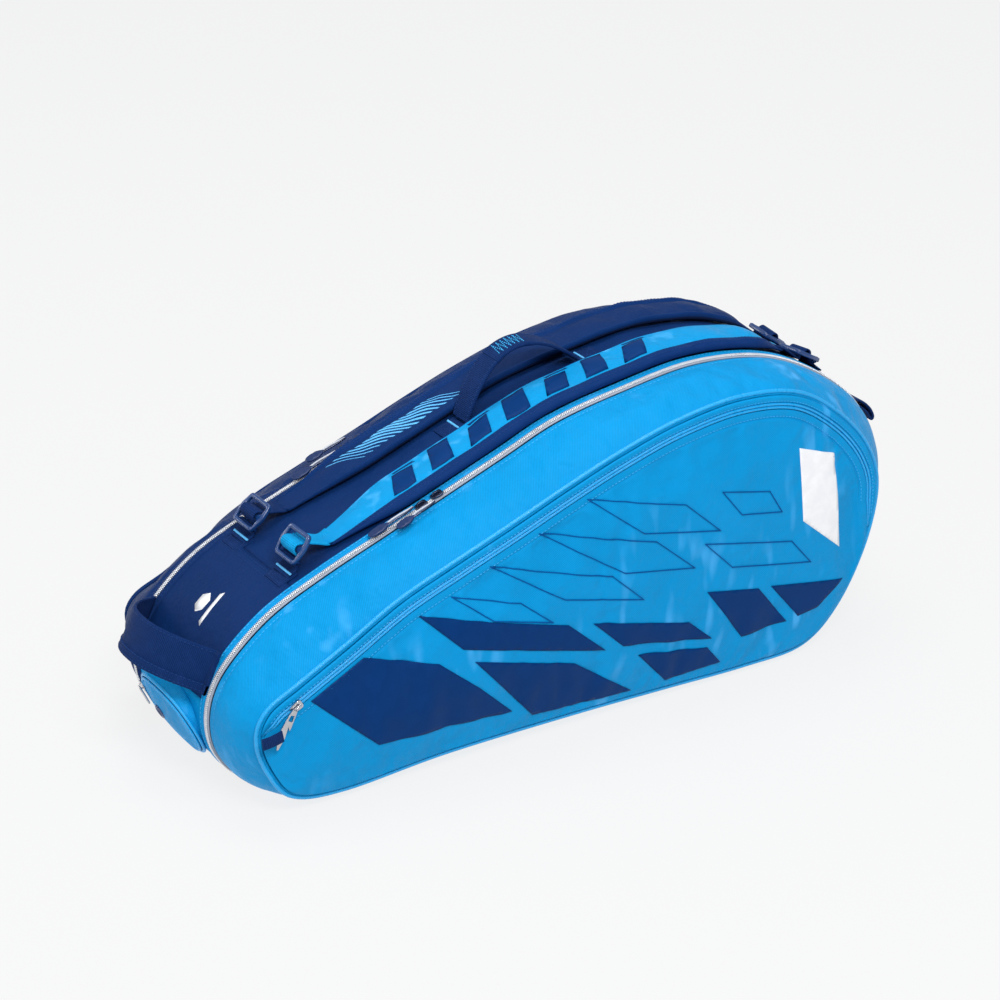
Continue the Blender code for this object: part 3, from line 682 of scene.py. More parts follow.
TOOTH = 0.0019           # from one zip tooth to the next


def side_cloth(side, mats):
    """The cloth of one side of the bag, and its material slot."""
    return (mats["sky"], "sky_fabric") if side < 0 else (mats["navy"], "navy_fabric")


def side_thread(side, mats):
    return mats["sky_thread" if side < 0 else "navy_thread"]


def zip_side(word, side, half, mats):
    """One half of a main zip: its tape, and its row of teeth along the parting line."""
    body, edge, far = ("core", 0.0749, 0.0722) if half == "spine" else (
        f"{word}_shell", 0.0751, 0.0790)
    toward = 1 if half == "shell" else -1
    t = stations(SPINE_KEYS, ZIP_START + 0.02, ZIP_END - 0.02, 0.006)
    y = side * np.array([far, (edge + far) / 2, edge])
    lift = np.array([0.0002, 0.0004, 0.0004])
    tape = loft(f"{word}_zip_{half}_tape", at(SPINE_KEYS, t[None], y[:, None], lift[:, None]),
                mats["silver_tape"])
    thicken(tape, 0.0016)
    put(tape, body, "silver_zip", f"{word}_zip_{half}_half")

    t = stations(SPINE_KEYS, ZIP_START + 0.04, ZIP_END - 0.04, TOOTH)
    if half == "shell":
        t = (t[1:] + t[:-1]) / 2
    up, along = directions(t)
    across = np.array([0.0, side * toward, 0.0])
    base = at(SPINE_KEYS, t, side * ZIP_PLANE, 0.0006)
    corners = []
    for height, inner, outer, half_length in ((0.0, -0.0003, 0.0026, 0.00062),
                                              (0.0009, -0.0003, 0.0023, 0.00055),
                                              (0.0013, 0.0002, 0.0018, 0.00030)):
        for reach, run in ((inner, -1), (outer, -1), (outer, 1), (inner, 1)):
            corners.append(base + up * height + across * reach + along * run * half_length)
    verts = np.stack(corners, 1)
    faces = []
    for b in range(0, len(t) * 12, 12):
        faces += [(b + 3, b + 2, b + 1, b), (b + 8, b + 9, b + 10, b + 11)]
        faces += [(i, j, j + 4, i + 4) for ring in (b, b + 4) for i, j in four_sides(ring)]
    teeth = make(f"{word}_zip_{half}_teeth", verts.reshape(-1, 3), faces, mats["coil"])
    weld(teeth)
    put(teeth, body, "silver_zip")


def zip_welt(word, side, mats):
    """The folded strip of cloth along the spine's side of a main zip."""
    t = stations(SPINE_KEYS, ZIP_START + 0.03, ZIP_END - 0.03, 0.007)
    profile = np.array([(0.0634, 0.0003), (0.0640, 0.0014), (0.0652, 0.0021), (0.0664, 0.0015),
                        (0.0671, 0.0007), (0.0679, 0.0016), (0.0690, 0.0021), (0.0702, 0.0014),
                        (0.0709, 0.0006), (0.0717, 0.0011), (0.0726, 0.0007), (0.0726, 0.0001),
                        (0.0690, 0.0003)])
    points = at(SPINE_KEYS, t[:, None], side * profile[None, :, 0], profile[None, :, 1])
    points[..., 2] += crumple(points, 0.03, 0.00018, side * 3.0)
    mat, slot = side_cloth(side, mats)
    welt = loft(f"{word}_zip_welt", points, mat, closed=True, caps=True)
    put(welt, "core", slot)
    line = at(SPINE_KEYS, t, side * 0.0662, 0.0016)
    seam(f"{word}_welt_stitches", line, surface(welt), side_thread(side, mats), "core", slot)


# ---------------------------------------------------------------- side shells

GUSSET_STITCH = 0.008    # from the gusset's folded edge to its stitches


def shell_gusset(word, side, keys, mats):
    """The band of cloth round a side shell, from the zip to the piping."""
    body = f"{word}_shell"
    cloth, slot = side_cloth(side, mats)
    t = stations(SPINE_KEYS, 0, KEYS, 0.0062)[:-1]
    reach = SEAM - SHELL_START
    run = np.array([0.0, 0.0005, 0.0015, 0.004, 0.0072, 0.0080, 0.0088, 0.0115, 0.0155, 0.0205,
                    0.0260, 0.0320, 0.0380, 0.0440, 0.0500, 0.0560, 0.0605, 0.0636, reach])
    v = (run / reach)[:, None]
    zip_side_line = outline(SPINE_KEYS, t)[None]
    piping_line = outline(keys, t)[None]
    out = unit(normals(SPINE_KEYS, t) + normals(keys, t))[None]
    edge_tuck = 0.0018 * (1 - smooth_step(run / 0.0022))
    stitch_dip = 0.0006 * np.exp(-((run - GUSSET_STITCH) / 0.0012) ** 2)
    fold = -edge_tuck - stitch_dip
    lift = (GUSSET_BULGE * 4 * v * (1 - v) + fold[:, None])[..., None]
    flat = zip_side_line * (1 - v[..., None]) + piping_line * v[..., None] + out * lift
    points = np.stack([flat[..., 0], np.broadcast_to(side * (SHELL_START + run)[:, None],
                                                     flat.shape[:2]), flat[..., 1]], -1)
    slack = crumple(points, 0.055, 0.0016, side * 5.0) * (4 * v * (1 - v))
    points[..., 0] += slack * out[..., 0]
    points[..., 2] += slack * out[..., 1]
    points[..., 2] = np.maximum(points[..., 2], 0.0006)
    gusset = loft(f"{word}_gusset_cloth", points, [cloth, mats["lining"]], closed=True)
    rows = np.repeat(np.arange(len(run)), len(t))
    low = points.reshape(-1, 3)[:, 2] < 0.012
    settle(gusset, (rows < 7) | (rows > len(run) - 3) | low, 0.5, 0.012, 0.0035)
    refine(gusset)
    thicken(gusset, 0.0024, lined=True)
    put(gusset, body, slot, f"{word}_gusset")

    tree = surface(gusset)
    over = stations(SPINE_KEYS, ZIP_START + 0.3, ZIP_END - 0.3, 0.006)
    line = at(SPINE_KEYS, over, side * (SHELL_START + GUSSET_STITCH), 0.003)
    seam(f"{word}_gusset_stitches", line, tree, side_thread(side, mats), body, slot)

    ring = stations(keys, 0, KEYS, 0.006)[:-1]
    # The near piping takes the lightened piping cloth, a painted highlight along its ridge.
    piping = tube(f"{word}_piping_cord", at(keys, ring, side * PIPING_PLANE), PIPING_RADIUS,
                  mats["piping"] if side < 0 else mats["navy"], closed=True, sides=12)
    put(piping, body, slot, f"{word}_piping")
    flange = loft(f"{word}_piping_flange",
                  np.stack([at(keys, ring, side * (SEAM + 0.0004), lift)
                            for lift in (-0.0045, -0.0022, -0.0006)]
                           + [at(keys, ring, side * (SEAM - 0.0012), 0.0004)]),
                  cloth, closed=True)
    thicken(flange, 0.0008)
    put(flange, body, slot)
    ledge = loft(f"{word}_piping_ledge",
                 np.stack([at(keys, ring, side * (PIPING_PLANE + out), -inset)
                           for out, inset in ((0.0008, 0.0010), (0.0017, 0.0026),
                                              (0.0017, 0.0048))]),
                 cloth, closed=True)
    thicken(ledge, 0.0006)
    put(ledge, body, slot)

    fold_t = stations(SPINE_KEYS, ZIP_END + 0.02, KEYS + ZIP_START - 0.02, 0.02)
    fold_y = side * np.array([0.0752, 0.0775, 0.0808])
    bottom = loft(f"{word}_bottom_seam_cloth",
                  at(SPINE_KEYS, fold_t[None], fold_y[:, None], 0.0002), mats["base"])
    thicken(bottom, 0.0026)
    put(bottom, body, "base_fabric", f"{word}_bottom_fold")


class Panel:
    """The side view of a panel inside its piping: how deep inside it a place lies, and where
    along the outline that is."""

    def __init__(self, keys, inset):
        self.keys, self.inset = keys, inset
        self.t = stations(keys, 0, KEYS, 0.0045)[:-1]
        self.edge = self.ring(0.0)
        spokes = self.edge - np.array(HUB)
        angle = np.arctan2(spokes[:, 1], spokes[:, 0])
        order = np.argsort(angle)
        self.angle, self.reach = angle[order], np.linalg.norm(spokes, axis=1)[order]

    def share(self, flat):
        """How far out from the hub each place lies: 1 at the edge."""
        spokes = flat - np.array(HUB)
        angle = np.arctan2(spokes[:, 1], spokes[:, 0])
        reach = np.interp(angle, self.angle, self.reach, period=2 * math.pi)
        return np.linalg.norm(spokes, axis=1) / reach

    def depth(self, flat):
        """Each place's distance from the edge, and the nearest key position."""
        gaps = np.linalg.norm(flat[:, None] - self.edge[None], axis=2)
        nearest = gaps.argmin(axis=1)
        return gaps.min(axis=1), self.t[nearest]

    def ring(self, extra):
        """The panel's outline, this much further in than its edge."""
        inset = (self.inset(self.t) + extra)[:, None]
        return outline(self.keys, self.t) - normals(self.keys, self.t) * inset


def panel_sheet(name, panel, rings, spacing, depth_of, side, mats):
    """A sheet that fills a panel's outline, its depth given for each place by depth_of."""
    flat, edges = [], []
    for extra in rings:
        ring = panel.ring(extra)
        first = sum(len(part) for part in flat)
        flat.append(ring)
        count = len(ring)
        edges += [(first + i, first + (i + 1) % count) for i in range(count)]
    low, high = panel.edge.min(axis=0), panel.edge.max(axis=0)
    grid = []
    height = spacing * math.sqrt(3) / 2
    for j in range(int((high[1] - low[1]) / height) + 1):
        offset = spacing / 2 * (j % 2)
        for i in range(int((high[0] - low[0]) / spacing) + 1):
            grid.append((low[0] + offset + i * spacing, low[1] + j * height))
    grid = np.array(grid)
    deep, _ = panel.depth(grid)
    inside = (panel.share(grid) < 1) & (deep > rings[-1] + spacing * 0.6)
    flat.append(grid[inside])
    flat = np.vstack(flat)
    made = delaunay_2d_cdt([Vector(p) for p in flat], edges, [], 1, 0.00001)
    places = np.array([tuple(p) for p in made[0]])
    faces = [tuple(face) for face in made[2]]
    depth = depth_of(places)
    points = np.stack([places[:, 0], side * depth, places[:, 1]], -1)
    uvs = [tuple(places[i]) for face in faces for i in face]
    return face_out(make(name, points, faces, mats, uvs), (0, 0, 0.15)), places


def same_inset(distance):
    return lambda t: np.full(np.shape(t), distance)


FRONT_INSET = 0.0042     # from the piping to the side pocket's front, away from its zip
ZIP_ROOM = 0.0132        # how much further in it ends along the zip
HEM = 0.0072             # from that edge to its stitches
NEAR_INSET, FAR_INSET, FAR_STITCH = 0.0032, 0.0042, 0.0090


def front_inset(t):
    """How far inside the piping the side pocket's front ends: more along its zip."""
    return FRONT_INSET + ZIP_ROOM * zip_share(t, 1.0, 0.95)


def zip_share(t, beyond=0.8, fade=0.8):
    """1 along the side pocket's zip, falling to 0 at beyond keys past its ends."""
    start, end = POCKET_ZIP_ENDS
    return smooth_step((t - start + beyond) / fade) * smooth_step((end + beyond - t) / fade)


def side_pocket(mats):
    """The pocket over the near panel: its front, with a stitched hem and small gathers."""
    panel = Panel(PANEL_KEYS, front_inset)

    def front_depth(places):
        deep, t = panel.depth(places)
        share = np.clip(panel.share(places), 0, 1)
        by_zip = zip_share(t)
        dome = POCKET_RISE * (1 - share ** 2.6)
        hem = 0.0010 * by_zip * (1 - smooth_step((deep - HEM) / 0.0012))
        dip = -0.0009 * by_zip * np.exp(-((deep - HEM - 0.0012) / 0.0014) ** 2)
        return POCKET_SEAM + dome + hem + dip

    rings = (0.0, 0.0012, 0.0040, HEM, HEM + 0.0012, 0.0110, 0.0150)
    front, places = panel_sheet("side_pocket_cloth", panel, rings, 0.0062, front_depth, -1,
                                [mats["sky"], mats["lining"]])
    deep, t = panel.depth(places)
    held = deep < np.where(zip_share(t) > 0.2, HEM + 0.0014, 0.0006)
    settle(front, held, 0.30, 0.012, 0.0040)
    gather(front, panel)
    refine(front)
    thicken(front, 0.0014, lined=True)
    put(front, "side_pocket", "sky_fabric", "side_pocket_front")

    tree = surface(front)
    t = stations(PANEL_KEYS, POCKET_ZIP_ENDS[0] - 0.2, POCKET_ZIP_ENDS[1] + 0.2, 0.005)
    line = at(PANEL_KEYS, t, -POCKET_SEAM - 0.004, -(front_inset(t) + HEM))
    seam("side_pocket_stitches", line, tree, mats["sky_thread"], "side_pocket", "sky_fabric",
         pitch=0.0040, length=0.0030)
    return tree


def gather(obj, panel):
    """Small puckers that run in from the hem's stitches, deepest at the head end's corner."""
    points = coordinates(obj.data)
    flat = points[:, [0, 2]]
    deep, t = panel.depth(flat)
    along = np.stack([t * 6.0, np.zeros_like(t), np.zeros_like(t)], -1)
    away = Vector((9, 0, 0))
    ripple = np.array([noise.noise(Vector(p)) + 0.6 * noise.noise(Vector(p) * 2.7 + away)
                       for p in along])
    corner = np.exp(-((t - 16.8) / 1.0) ** 2) + 0.5 * np.exp(-((t - 12.0) / 1.6) ** 2)
    fade = smooth_step((deep - HEM - 0.001) / 0.004) * np.exp(-(deep - HEM) / 0.026)
    points[:, 1] -= ripple * (0.0010 + 0.0034 * corner) * fade * zip_share(t)
    set_coordinates(obj.data, points)


def near_panel(mats):
    """The foam panel under the side pocket, its band, and the pocket's covered zip."""
    panel = Panel(PANEL_KEYS, same_inset(NEAR_INSET))

    def slab_depth(places):
        deep, _ = panel.depth(places)
        return PANEL_PLANE + 0.0040 * smooth_step(deep / 0.0025)

    sheet, _ = panel_sheet("near_panel_cloth", panel, (0.0, 0.0012, 0.0026, 0.008), 0.016,
                           slab_depth, -1, [mats["sky"], mats["lining"]])
    thicken(sheet, 0.0036, lined=True)
    put(sheet, "near_shell", "sky_fabric", "near_side_panel")

    t = stations(PANEL_KEYS, POCKET_ZIP_ENDS[0] - 0.70, POCKET_ZIP_ENDS[1] + 0.70, 0.005)
    ends = smooth_step((t - t[0]) / 0.40) * smooth_step((t[-1] - t) / 0.40)
    spread = (front_inset(t) - FRONT_INSET) / ZIP_ROOM
    profiles = {
        "side_pocket_band_cloth": ([(0.0034, -0.0012), (0.0038, 0.0004), (0.0055, 0.0009),
                                    (0.0080, 0.0009), (0.0098, 0.0006), (0.0105, -0.0003)],
                                   "sky_fabric", mats["sky"], ["side_pocket_band"]),
        # The zip's two ridges take the lightened piping cloth, a painted highlight on their tops.
        "side_pocket_zip_outer": ([(0.0105, -0.0004), (0.0108, 0.0008), (0.0119, 0.0017),
                                   (0.0131, 0.0012), (0.0138, -0.0003)],
                                  "zip_tape", mats["piping"], ["side_pocket_zip"]),
        "side_pocket_zip_inner": ([(0.0138, -0.0004), (0.0144, 0.0011), (0.0156, 0.0017),
                                   (0.0167, 0.0010), (0.0173, -0.0008)],
                                  "zip_tape", mats["piping"], []),
    }
    for name, (profile, slot, mat, nodes) in profiles.items():
        table = np.array(profile)
        points = []
        for inset, rise in table:
            row = at(PANEL_KEYS, t, -POCKET_SEAM, -0.0034 - (inset - 0.0034) * spread)
            row[:, 1] -= rise * ends - 0.0012 * (1 - ends)
            points.append(row)
        strip = loft(name, np.stack(points), mat)
        refine(strip)
        thicken(strip, 0.0008)
        put(strip, "near_shell", slot, *nodes)
        if slot == "sky_fabric":
            line = at(PANEL_KEYS, t, -POCKET_SEAM - 0.002, -0.0034 - 0.0056 * spread)[3:-3]
            seam("band_stitches", line, surface(strip), mats["sky_thread"], "near_shell",
                 "sky_fabric", pitch=0.0040, length=0.0030)


def far_panel(mats):
    """The far side: one padded panel with no pocket."""
    panel = Panel(FAR_KEYS, same_inset(FAR_INSET))

    def dome_depth(places):
        share = np.clip(panel.share(places), 0, 1)
        deep, _ = panel.depth(places)
        sewn = -0.0008 * np.exp(-((deep - FAR_STITCH) / 0.0016) ** 2)
        return PANEL_PLANE + 0.0040 + FAR_RISE * (1 - share ** 2.6) + sewn

    rings = (0.0, 0.0015, 0.0050, FAR_STITCH, 0.0130)
    sheet, places = panel_sheet("far_panel_cloth", panel, rings, 0.0070, dome_depth, 1,
                                [mats["navy"], mats["lining"]])
    deep, _ = panel.depth(places)
    settle(sheet, deep < FAR_STITCH + 0.0006, 0.5, 0.008, 0.0035)
    refine(sheet)
    thicken(sheet, 0.0030, lined=True)
    put(sheet, "far_shell", "navy_fabric", "far_side_panel")
    t = stations(FAR_KEYS, 0, KEYS, 0.005)[:-1]
    line = at(FAR_KEYS, t, PIPING_PLANE + 0.006, -(FAR_INSET + FAR_STITCH))
    seam("far_panel_stitches", line, surface(sheet), mats["navy_thread"], "far_shell",
         "navy_fabric", closed=True)


# ---------------------------------------------------------------- prints

CELL = 0.0045            # the size of the pieces that a print is cut into, to follow a curve
INK = 0.00035            # how far a print stands off its cloth


def split_cells(bm, size):
    """Cuts a flat print along a grid, so that it can follow a curved surface."""
    for axis in range(2):
        values = [v.co[axis] for v in bm.verts]
        first, last = math.ceil(min(values) / size), math.floor(max(values) / size)
        for k in range(first, last + 1):
            point, normal = Vector((0, 0, 0)), Vector((0, 0, 0))
            point[axis] = k * size
            normal[axis] = 1
            bmesh.ops.bisect_plane(bm, geom=bm.verts[:] + bm.edges[:] + bm.faces[:],
                                   plane_co=point, plane_no=normal)


def ink(name, shapes, place, tree, mat, body, slot, cell=CELL, ahead=None):
    """Flat printed shapes, (u, v), laid on a surface. place turns (u, v) into a point near it,
    and ahead is the way from there to the surface."""
    bm = bmesh.new()
    for shape in shapes:
        bm.faces.new([bm.verts.new((u, v, 0)) for u, v in shape])
    split_cells(bm, cell)
    bmesh.ops.triangulate(bm, faces=[f for f in bm.faces if len(f.verts) > 4])
    points, _ = drape([place(v.co.x, v.co.y) for v in bm.verts], tree, INK, ahead)
    for v, p in zip(bm.verts, points):
        v.co = p
    mesh = bpy.data.meshes.new(name)
    bm.to_mesh(mesh)
    bm.free()
    obj = add_object(name, mesh)
    mesh.materials.append(mat)
    middle = sum((v.co for v in mesh.vertices), Vector()) / len(mesh.vertices)
    _, normal, _, _ = tree.find_nearest(middle)
    mesh.shade_smooth()
    if sum(f.normal.dot(normal) * f.area for f in mesh.polygons) < 0:
        mesh.flip_normals()
    thicken(obj, INK * 1.6, even=False)
    put(obj, body, slot)


def strokes(shape, width):
    """The outline of a shape as thin four-sided strokes."""
    made = []
    corners = [Vector(p) for p in shape]
    for a, b in zip(corners, corners[1:] + corners[:1]):
        along = (b - a).normalized()
        side = Vector((-along.y, along.x)) * width / 2
        a2, b2 = a - along * width / 2, b + along * width / 2
        made.append([a2 - side, b2 - side, b2 + side, a2 + side])
    return made


# The pocket's print, (x, z): plain slanted blocks low down, and outlines of the same kind above.
SOLID_BLOCKS = [
    [(-0.302, 0.116), (-0.246, 0.145), (-0.172, 0.122), (-0.128, 0.084), (-0.088, 0.044),
     (-0.236, 0.054)],
    [(-0.188, 0.172), (-0.030, 0.124), (0.014, 0.084), (-0.146, 0.130)],
    [(-0.134, 0.114), (-0.022, 0.080), (0.052, 0.024), (-0.064, 0.032)],
    [(-0.002, 0.118), (0.112, 0.087), (0.142, 0.060), (0.034, 0.083)],
    [(0.054, 0.066), (0.138, 0.050), (0.158, 0.026), (0.092, 0.024)],
    [(0.132, 0.115), (0.196, 0.101), (0.236, 0.052), (0.180, 0.050)],
    [(0.212, 0.099), (0.308, 0.079), (0.276, 0.056), (0.250, 0.054)],
]
OUTLINE_BLOCKS = [
    [(-0.152, 0.182), (-0.082, 0.160), (-0.048, 0.132), (-0.112, 0.150)],
    [(-0.110, 0.202), (0.020, 0.162), (0.056, 0.128), (-0.034, 0.152)],
    [(-0.056, 0.222), (0.070, 0.186), (0.116, 0.146), (0.034, 0.162)],
    [(-0.002, 0.244), (0.104, 0.216), (0.146, 0.178), (0.056, 0.198)],
    [(0.128, 0.168), (0.236, 0.142), (0.262, 0.112), (0.162, 0.134)],
    [(0.148, 0.218), (0.206, 0.204), (0.222, 0.178), (0.172, 0.188)],
]
PALE_BLOCK = [(0.243, 0.240), (0.290, 0.222), (0.302, 0.116), (0.250, 0.160)]


def pocket_prints(tree, mats):
    def place(x, z):
        return x, -POCKET_SEAM - 0.05, z

    lines = [stroke for shape in OUTLINE_BLOCKS for stroke in strokes(shape, 0.0009)]
    for name, shapes, mat, slot in (("blocks", SOLID_BLOCKS, "print", "navy_fabric"),
                                    ("outlines", lines, "line", "navy_fabric"),
                                    ("pale_block", [PALE_BLOCK], "white", "sky_fabric")):
        ink(f"pocket_print_{name}", shapes, place, tree, mats[mat], "side_pocket", slot,
            ahead=(0, 1, 0))


# ---------------------------------------------------------------- spine

def spine_panel(name, start, end, half, mats, mat, slot, node, crown=0.0014, folds=0.0007,
                hem=0.0):
    """A panel of the spine across the bag, a little crowned, between two key positions."""
    t = stations(SPINE_KEYS, start + 0.004, end - 0.004, 0.008)
    y = np.linspace(-half, half, 19)
    lift = crown * (1 - (y / half) ** 4)[:, None] + np.zeros(len(t))[None]
    points = at(SPINE_KEYS, t[None], y[:, None], lift)
    inner = (1 - (y / half) ** 6)[:, None]
    up, _ = directions(t)
    wrinkle = crumple(points, 0.035, folds, len(name)) * inner
    if hem:
        run = np.linalg.norm(points[9] - points[9][-1], axis=1)
        wrinkle = wrinkle + 0.0010 * (1 - smooth_step((run - hem) / 0.002))
    points = points + up[None] * wrinkle[..., None]
    points[..., 2] = np.maximum(points[..., 2], 0.0)
    sheet = loft(name, points, [mat, mats["lining"]])
    thicken(sheet, 0.003, lined=True)
    put(sheet, "core", slot, node)
    return surface(sheet)


def spine(mats):
    spine_panel("spine_top_cloth", ANCHOR_SEAM, HEAD_SEAM, 0.0688, mats, mats["navy"],
                "navy_fabric", "spine_top_panel", folds=0.0011)
    tree = spine_panel("grip_end_top_cloth", END_WALL_TOP, ANCHOR_SEAM + 0.03, 0.0688, mats,
                       mats["navy"], "navy_fabric", "grip_end_top_panel", hem=0.009)
    for back in (0.06, 0.15):
        y = np.linspace(-0.061, 0.061, 40)
        line = at(SPINE_KEYS, np.full(40, ANCHOR_SEAM + 0.03 - back), y, 0.003)
        seam(f"hem_stitches_{round(back * 100)}", line, tree, mats["navy_thread"], "core",
             "navy_fabric", pitch=0.0040, length=0.0030)
    spine_panel("grip_end_cloth", ZIP_START, END_WALL_TOP, 0.0688, mats, mats["sky"],
                "sky_fabric", "grip_end_wall")
    spine_panel("head_end_cloth", HEAD_SEAM, ZIP_END, 0.0688, mats, mats["navy"],
                "navy_fabric", "head_end_wall")
    spine_panel("base_cloth", ZIP_END, ZIP_START + KEYS, 0.0746, mats, mats["base"],
                "base_fabric", "base_panel", crown=0.0, folds=0.0)
    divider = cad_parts["centre_divider"]
    divider.material_slots[0].link = "OBJECT"
    divider.material_slots[0].material = mats["lining"]

    def place(u, v):
        return tuple(at(SPINE_KEYS, 7.35 + u * 18, v, 0.004))

    marks = [[(-0.022, -0.010), (0.022, -0.006), (0.018, -0.002), (-0.018, -0.005)],
             [(-0.012, 0.010), (-0.006, 0.003), (0.007, 0.003), (0.013, 0.010), (0.007, 0.017),
              (-0.006, 0.017)]]
    ink("grip_end_print", marks, place, tree, mats["white"], "core", "navy_fabric", cell=0.012)


# ---------------------------------------------------------------- straps

STRAPS = {
    -1: {"inner": 0.0138, "pad": (9.35, 16.60), "grip": (8.94, 0.0228, -30, 4),
         "head": (16.98, 0.0092, -3, -6), "head_anchor": (17.20, 17.75)},
    1: {"inner": 0.0205, "pad": (9.35, 16.95), "grip": (8.96, 0.0195, -20, 4),
        "head": (17.36, 0.0108, -5, 4), "head_anchor": (17.56, 18.10)},
}
BINDING = 0.0118         # the wide bound edge of a strap, on its zip side
DEPTHS = {"grip": 1.0, "head": 0.72}    # how deep the webbing goes under each buckle, as a share


def strap_middle(side):
    return (STRAPS[side]["inner"] + STRAP_OUTER) / 2


def strap_profile(half, thick, bound):
    """A strap's section, (across, up), and the material of each of its sides. bound is how much
    of the wide binding there is, from 0 to 1."""
    edge = BINDING * bound
    face = np.linspace(-half + 0.0040 * bound, half - edge - 0.0006, 9)
    share = np.linspace(-1, 1, 9)
    points = [(-half, 0.42), (-half + 0.0006 * bound, 0.68), (-half + 0.0020 * bound, 0.84),
              (-half + 0.0033 * bound, 0.78)]
    points += [(x, 0.80 + 0.20 * (1 - abs(s) ** 2.2)) for x, s in zip(face, share)]
    points += [(half - edge + 0.0002, 0.76), (half - 0.88 * edge, 0.90),
               (half - 0.68 * edge, 1.0), (half - 0.42 * edge, 0.99), (half - 0.20 * edge, 0.84),
               (half - 0.06 * edge, 0.64), (half, 0.42), (half - 0.0006, 0.18),
               (half - 0.0028, 0.03)]
    points += [(x, 0.0) for x in np.linspace(half - 0.007, -half + 0.007, 5)]
    points += [(-half + 0.0028, 0.03), (-half + 0.0006, 0.18)]
    kinds = [1, 1, 1] + [0] * 9 + [1] * 8 + [2] * 8
    return np.array([(x, z * thick) for x, z in points]), kinds


def strap(side, word, mats):
    """A padded strap: its face between two bound edges, the wide one rolled and stitched."""
    start, end = STRAPS[side]["pad"]
    t = stations(SPINE_KEYS, start, end, 0.0085)
    share = np.linspace(0, 1, len(t))
    full = (STRAP_OUTER - STRAPS[side]["inner"]) / 2
    tip = 0.0130
    half = tip + (full - tip) * smooth_step(share / 0.17) * smooth_step((1 - share) / 0.10)
    thick = STRAP_THICK * (0.40 + 0.60 * smooth_step(share / 0.15)
                           * smooth_step((1 - share) / 0.10))
    bound = 0.12 + 0.88 * smooth_step(share / 0.17)
    rows = []
    for k, (where, a, b) in enumerate(zip(t, half, thick)):
        section, kinds = strap_profile(a, b, bound[k])
        wave = 0.0006 * math.sin(k * 0.9 + side) * (section[:, 1] / b) * share[k] ** 0.5
        rows.append(at(SPINE_KEYS, where, side * (strap_middle(side) + section[:, 0]),
                       STRAP_LIFT + section[:, 1] + wave))
    face = mats["sky_face"] if side < 0 else mats["navy_face"]
    columns = len(rows[0])
    pad = loft(f"{word}_strap_cushion", rows, [face, mats["binding"], mats["backing"]],
               closed=True, caps=True, stripes=(kinds + [2] * columns)[:columns])
    column = np.tile(np.arange(columns), len(rows))
    held = (column <= 4) | (column >= 12) & (column <= 14) | (column >= 18)
    settle(pad, held, 2.0, 0.015, 0.0012)
    refine(pad)
    body, slot = f"{word}_strap", "sky_strap" if side < 0 else "navy_strap"
    put(pad, body, slot, f"{word}_strap_pad")
    tree = surface(pad)
    for name, offset in (("outer", full - 0.0101), ("edge", full - 0.0026)):
        reach = half - (full - offset) * bound
        line = np.array([at(SPINE_KEYS, a, side * (strap_middle(side) + b),
                            STRAP_LIFT + STRAP_THICK + 0.002) for a, b in zip(t[2:-2],
                                                                              reach[2:-2])])
        seam(f"{word}_strap_{name}_stitches", line, tree, mats["navy_thread"], body, slot,
             pitch=0.0042, length=0.0030)
    strap_print(side, t, tree, mats)


def strap_print(side, t, tree, mats):
    """Slanted blocks on the near strap and a fine hatch on the far one: metres along the strap,
    and metres across it from its inner edge."""
    run = distances(outline(SPINE_KEYS, t))
    inner = STRAPS[side]["inner"]

    def place(along, across):
        return tuple(at(SPINE_KEYS, float(np.interp(along, run, t)), side * (inner + across),
                        STRAP_LIFT + STRAP_THICK + 0.003))

    if side < 0:
        blocks = []
        for k in range(7):
            left = 0.078 + k * 0.045
            low, high = (0.0065, 0.0410) if k % 2 else (0.0130, 0.0410)
            blocks.append([(left, high), (left + 0.026, high), (left + 0.038, low),
                           (left + 0.014, low)])
            if k % 2 == 0:
                blocks.append([(left + 0.017, 0.0065), (left + 0.041, 0.0065),
                               (left + 0.043, 0.0095), (left + 0.018, 0.0095)])
        ink("near_strap_print", blocks, place, tree, mats["print"], "near_strap", "navy_strap",
            cell=0.006)
    else:
        hatch = []
        for k in range(15):
            left = 0.060 + k * 0.0088
            width = 0.0052 * math.sin(math.pi * (k + 0.8) / 16) + 0.0006
            hatch.append([(left, 0.0310), (left + width, 0.0310),
                          (left + 0.034 + width * 0.6, 0.0075), (left + 0.034, 0.0075)])
        ink("far_strap_print", hatch, place, tree, mats["pale"], "far_strap", "sky_strap",
            cell=0.006)


def frame_at(origin, along, up):
    """A matrix with its X axis along, its Z axis near up and its Y axis across."""
    x = Vector(along).normalized()
    y = Vector(up).cross(x).normalized()
    return Matrix.Translation(origin) @ Matrix((x, y, x.cross(y))).transposed().to_4x4()


def cut_plate(name, outer, holes, thickness, rim, mat):
    """A flat moulded plate with rounded edges, in its own XY plane. Returns its object."""
    curve = bpy.data.curves.new(name, "CURVE")
    curve.dimensions = "2D"
    curve.fill_mode = "BOTH"
    curve.extrude = thickness / 2 - rim
    curve.bevel_depth = rim
    curve.bevel_resolution = 3
    curve.offset = -rim
    for ring in [outer, *holes]:
        spline = curve.splines.new("POLY")
        spline.points.add(len(ring) - 1)
        for point, (x, y) in zip(spline.points, ring):
            point.co = (x, y, 0, 1)
        spline.use_cyclic_u = True
    source = add_object(name, curve)
    seen = source.evaluated_get(bpy.context.evaluated_depsgraph_get())
    mesh = bpy.data.meshes.new_from_object(seen)
    bpy.data.objects.remove(source)
    obj = add_object(name, mesh)
    mesh.materials.clear()
    mesh.materials.append(mat)
    weld(obj)
    mesh.shade_smooth()
    mesh.set_sharp_from_angle(angle=math.radians(38))
    return obj


def shift(ring, x, y=0.0):
    return [(u + x, v + y) for u, v in ring]


